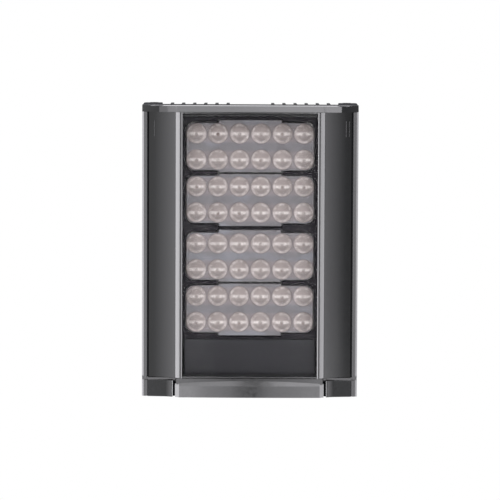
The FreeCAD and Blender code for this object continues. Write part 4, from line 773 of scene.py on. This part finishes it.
# %% Carrier
# One moulded frame with two openings, each shaped round a pair of arrays, with fingers between the two.
CARRIER_X, CARRIER_LOW, CARRIER_HIGH, GAP = 61.0, -73.8, 112.0, 0.8
CARRIER_BACK = FLANGE + 4.0
bm = bmesh.new()
outer = [(-CARRIER_X, CARRIER_LOW), (CARRIER_X, CARRIER_LOW), (CARRIER_X, CARRIER_HIGH),
         (-CARRIER_X, CARRIER_HIGH)]
draw_loop(bm, *soft_corners(outer, 1.0), 4)
for upper, lower in (ROWS[:2], ROWS[2:]):
    wide, high, tab = ARRAY_X + GAP, ARRAY_Z + GAP, TAB_X + GAP
    out = ARRAY_Z + OUTER_TAB + GAP
    hole = [(-wide, lower - high), (-tab, lower - high), (-tab, lower - out), (tab, lower - out),
            (tab, lower - high), (wide, lower - high), (wide, lower + high), (tab, lower + high),
            (tab, upper - high), (wide, upper - high), (wide, upper + high), (tab, upper + high),
            (tab, upper + out), (-tab, upper + out), (-tab, upper + high), (-wide, upper + high),
            (-wide, upper - high), (-tab, upper - high), (-tab, lower + high), (-wide, lower + high)]
    corner = {i: ARRAY_CORNER + GAP for i in (0, 5, 6, 9, 10, 15, 16, 19)}
    draw_loop(bm, *soft_corners(hole, 1.2, corner), 8)
faces = bmesh.ops.triangle_fill(bm, use_beauty=True, use_dissolve=False, edges=bm.edges)["geom"]
pull(bm, [item for item in faces if isinstance(item, bmesh.types.BMFace)], CARRIER_BACK - FLANGE)
stand_up(bm, CARRIER_BACK)
bm.normal_update()
round_off(bm, front_edges(bm, FLANGE), 0.5, 3)
piece("array_carrier", bm, carrier_black, "carrier_black", "led_carrier")

# %% Driver cover
COVER_LOW, COVER_HIGH, COVER_X = -104.1, -74.3, 54.6
bm = bmesh.new()
panel = [(-COVER_X, COVER_LOW), (COVER_X, COVER_LOW), (COVER_X, COVER_HIGH), (-COVER_X, COVER_HIGH)]
pull(bm, outline(bm, *soft_corners(panel, 0.5, {2: 2.0, 3: 2.0}), 8), 2.0)
stand_up(bm, FLANGE + 2.0)
bm.normal_update()
round_off(bm, front_edges(bm, FLANGE), 0.7, 3)
piece("blank_cover", bm, cover_black, "carrier_black", "driver_cover")

# %% [markdown]
# ## Floor
# The head hangs on a wall bracket, so nothing stands under it. The floor lies well below the view and only
# catches the shadow. It is white to the camera and to reflections, as the tent is.

# %% Floor
FLOOR_LEVEL = -0.95
bm = bmesh.new()
bmesh.ops.create_grid(bm, x_segments=1, y_segments=1, size=6.0)
bmesh.ops.translate(bm, vec=(0, 0, FLOOR_LEVEL), verts=bm.verts)
mesh = bpy.data.meshes.new("floor")
bm.to_mesh(mesh)
bm.free()
floor = bpy.data.objects.new("floor", mesh)
bpy.context.scene.collection.objects.link(floor)
paper, tree, shader, space = finish("paper_backdrop_white")
shader.inputs["Base Color"].default_value = linear("#e9e9e9")
shader.inputs["Roughness"].default_value = 0.9
path = add(tree, "ShaderNodeLightPath")
seen = add(tree, "ShaderNodeMath", {0: path.outputs["Is Camera Ray"], 1: path.outputs["Is Glossy Ray"]},
           operation="MAXIMUM")
seen = add(tree, "ShaderNodeMath", {0: seen.outputs[0], 1: path.outputs["Is Transmission Ray"]},
           operation="MAXIMUM")
glow = add(tree, "ShaderNodeEmission", {"Color": linear("#ffffff"), "Strength": 1.0})
shown = add(tree, "ShaderNodeMixShader", {0: seen.outputs[0], 1: shader.outputs[0], 2: glow.outputs[0]})
tree.links.new(shown.outputs[0], tree.nodes["Material Output"].inputs["Surface"])
mesh.materials.append(paper)
print("floor at", FLOOR_LEVEL)
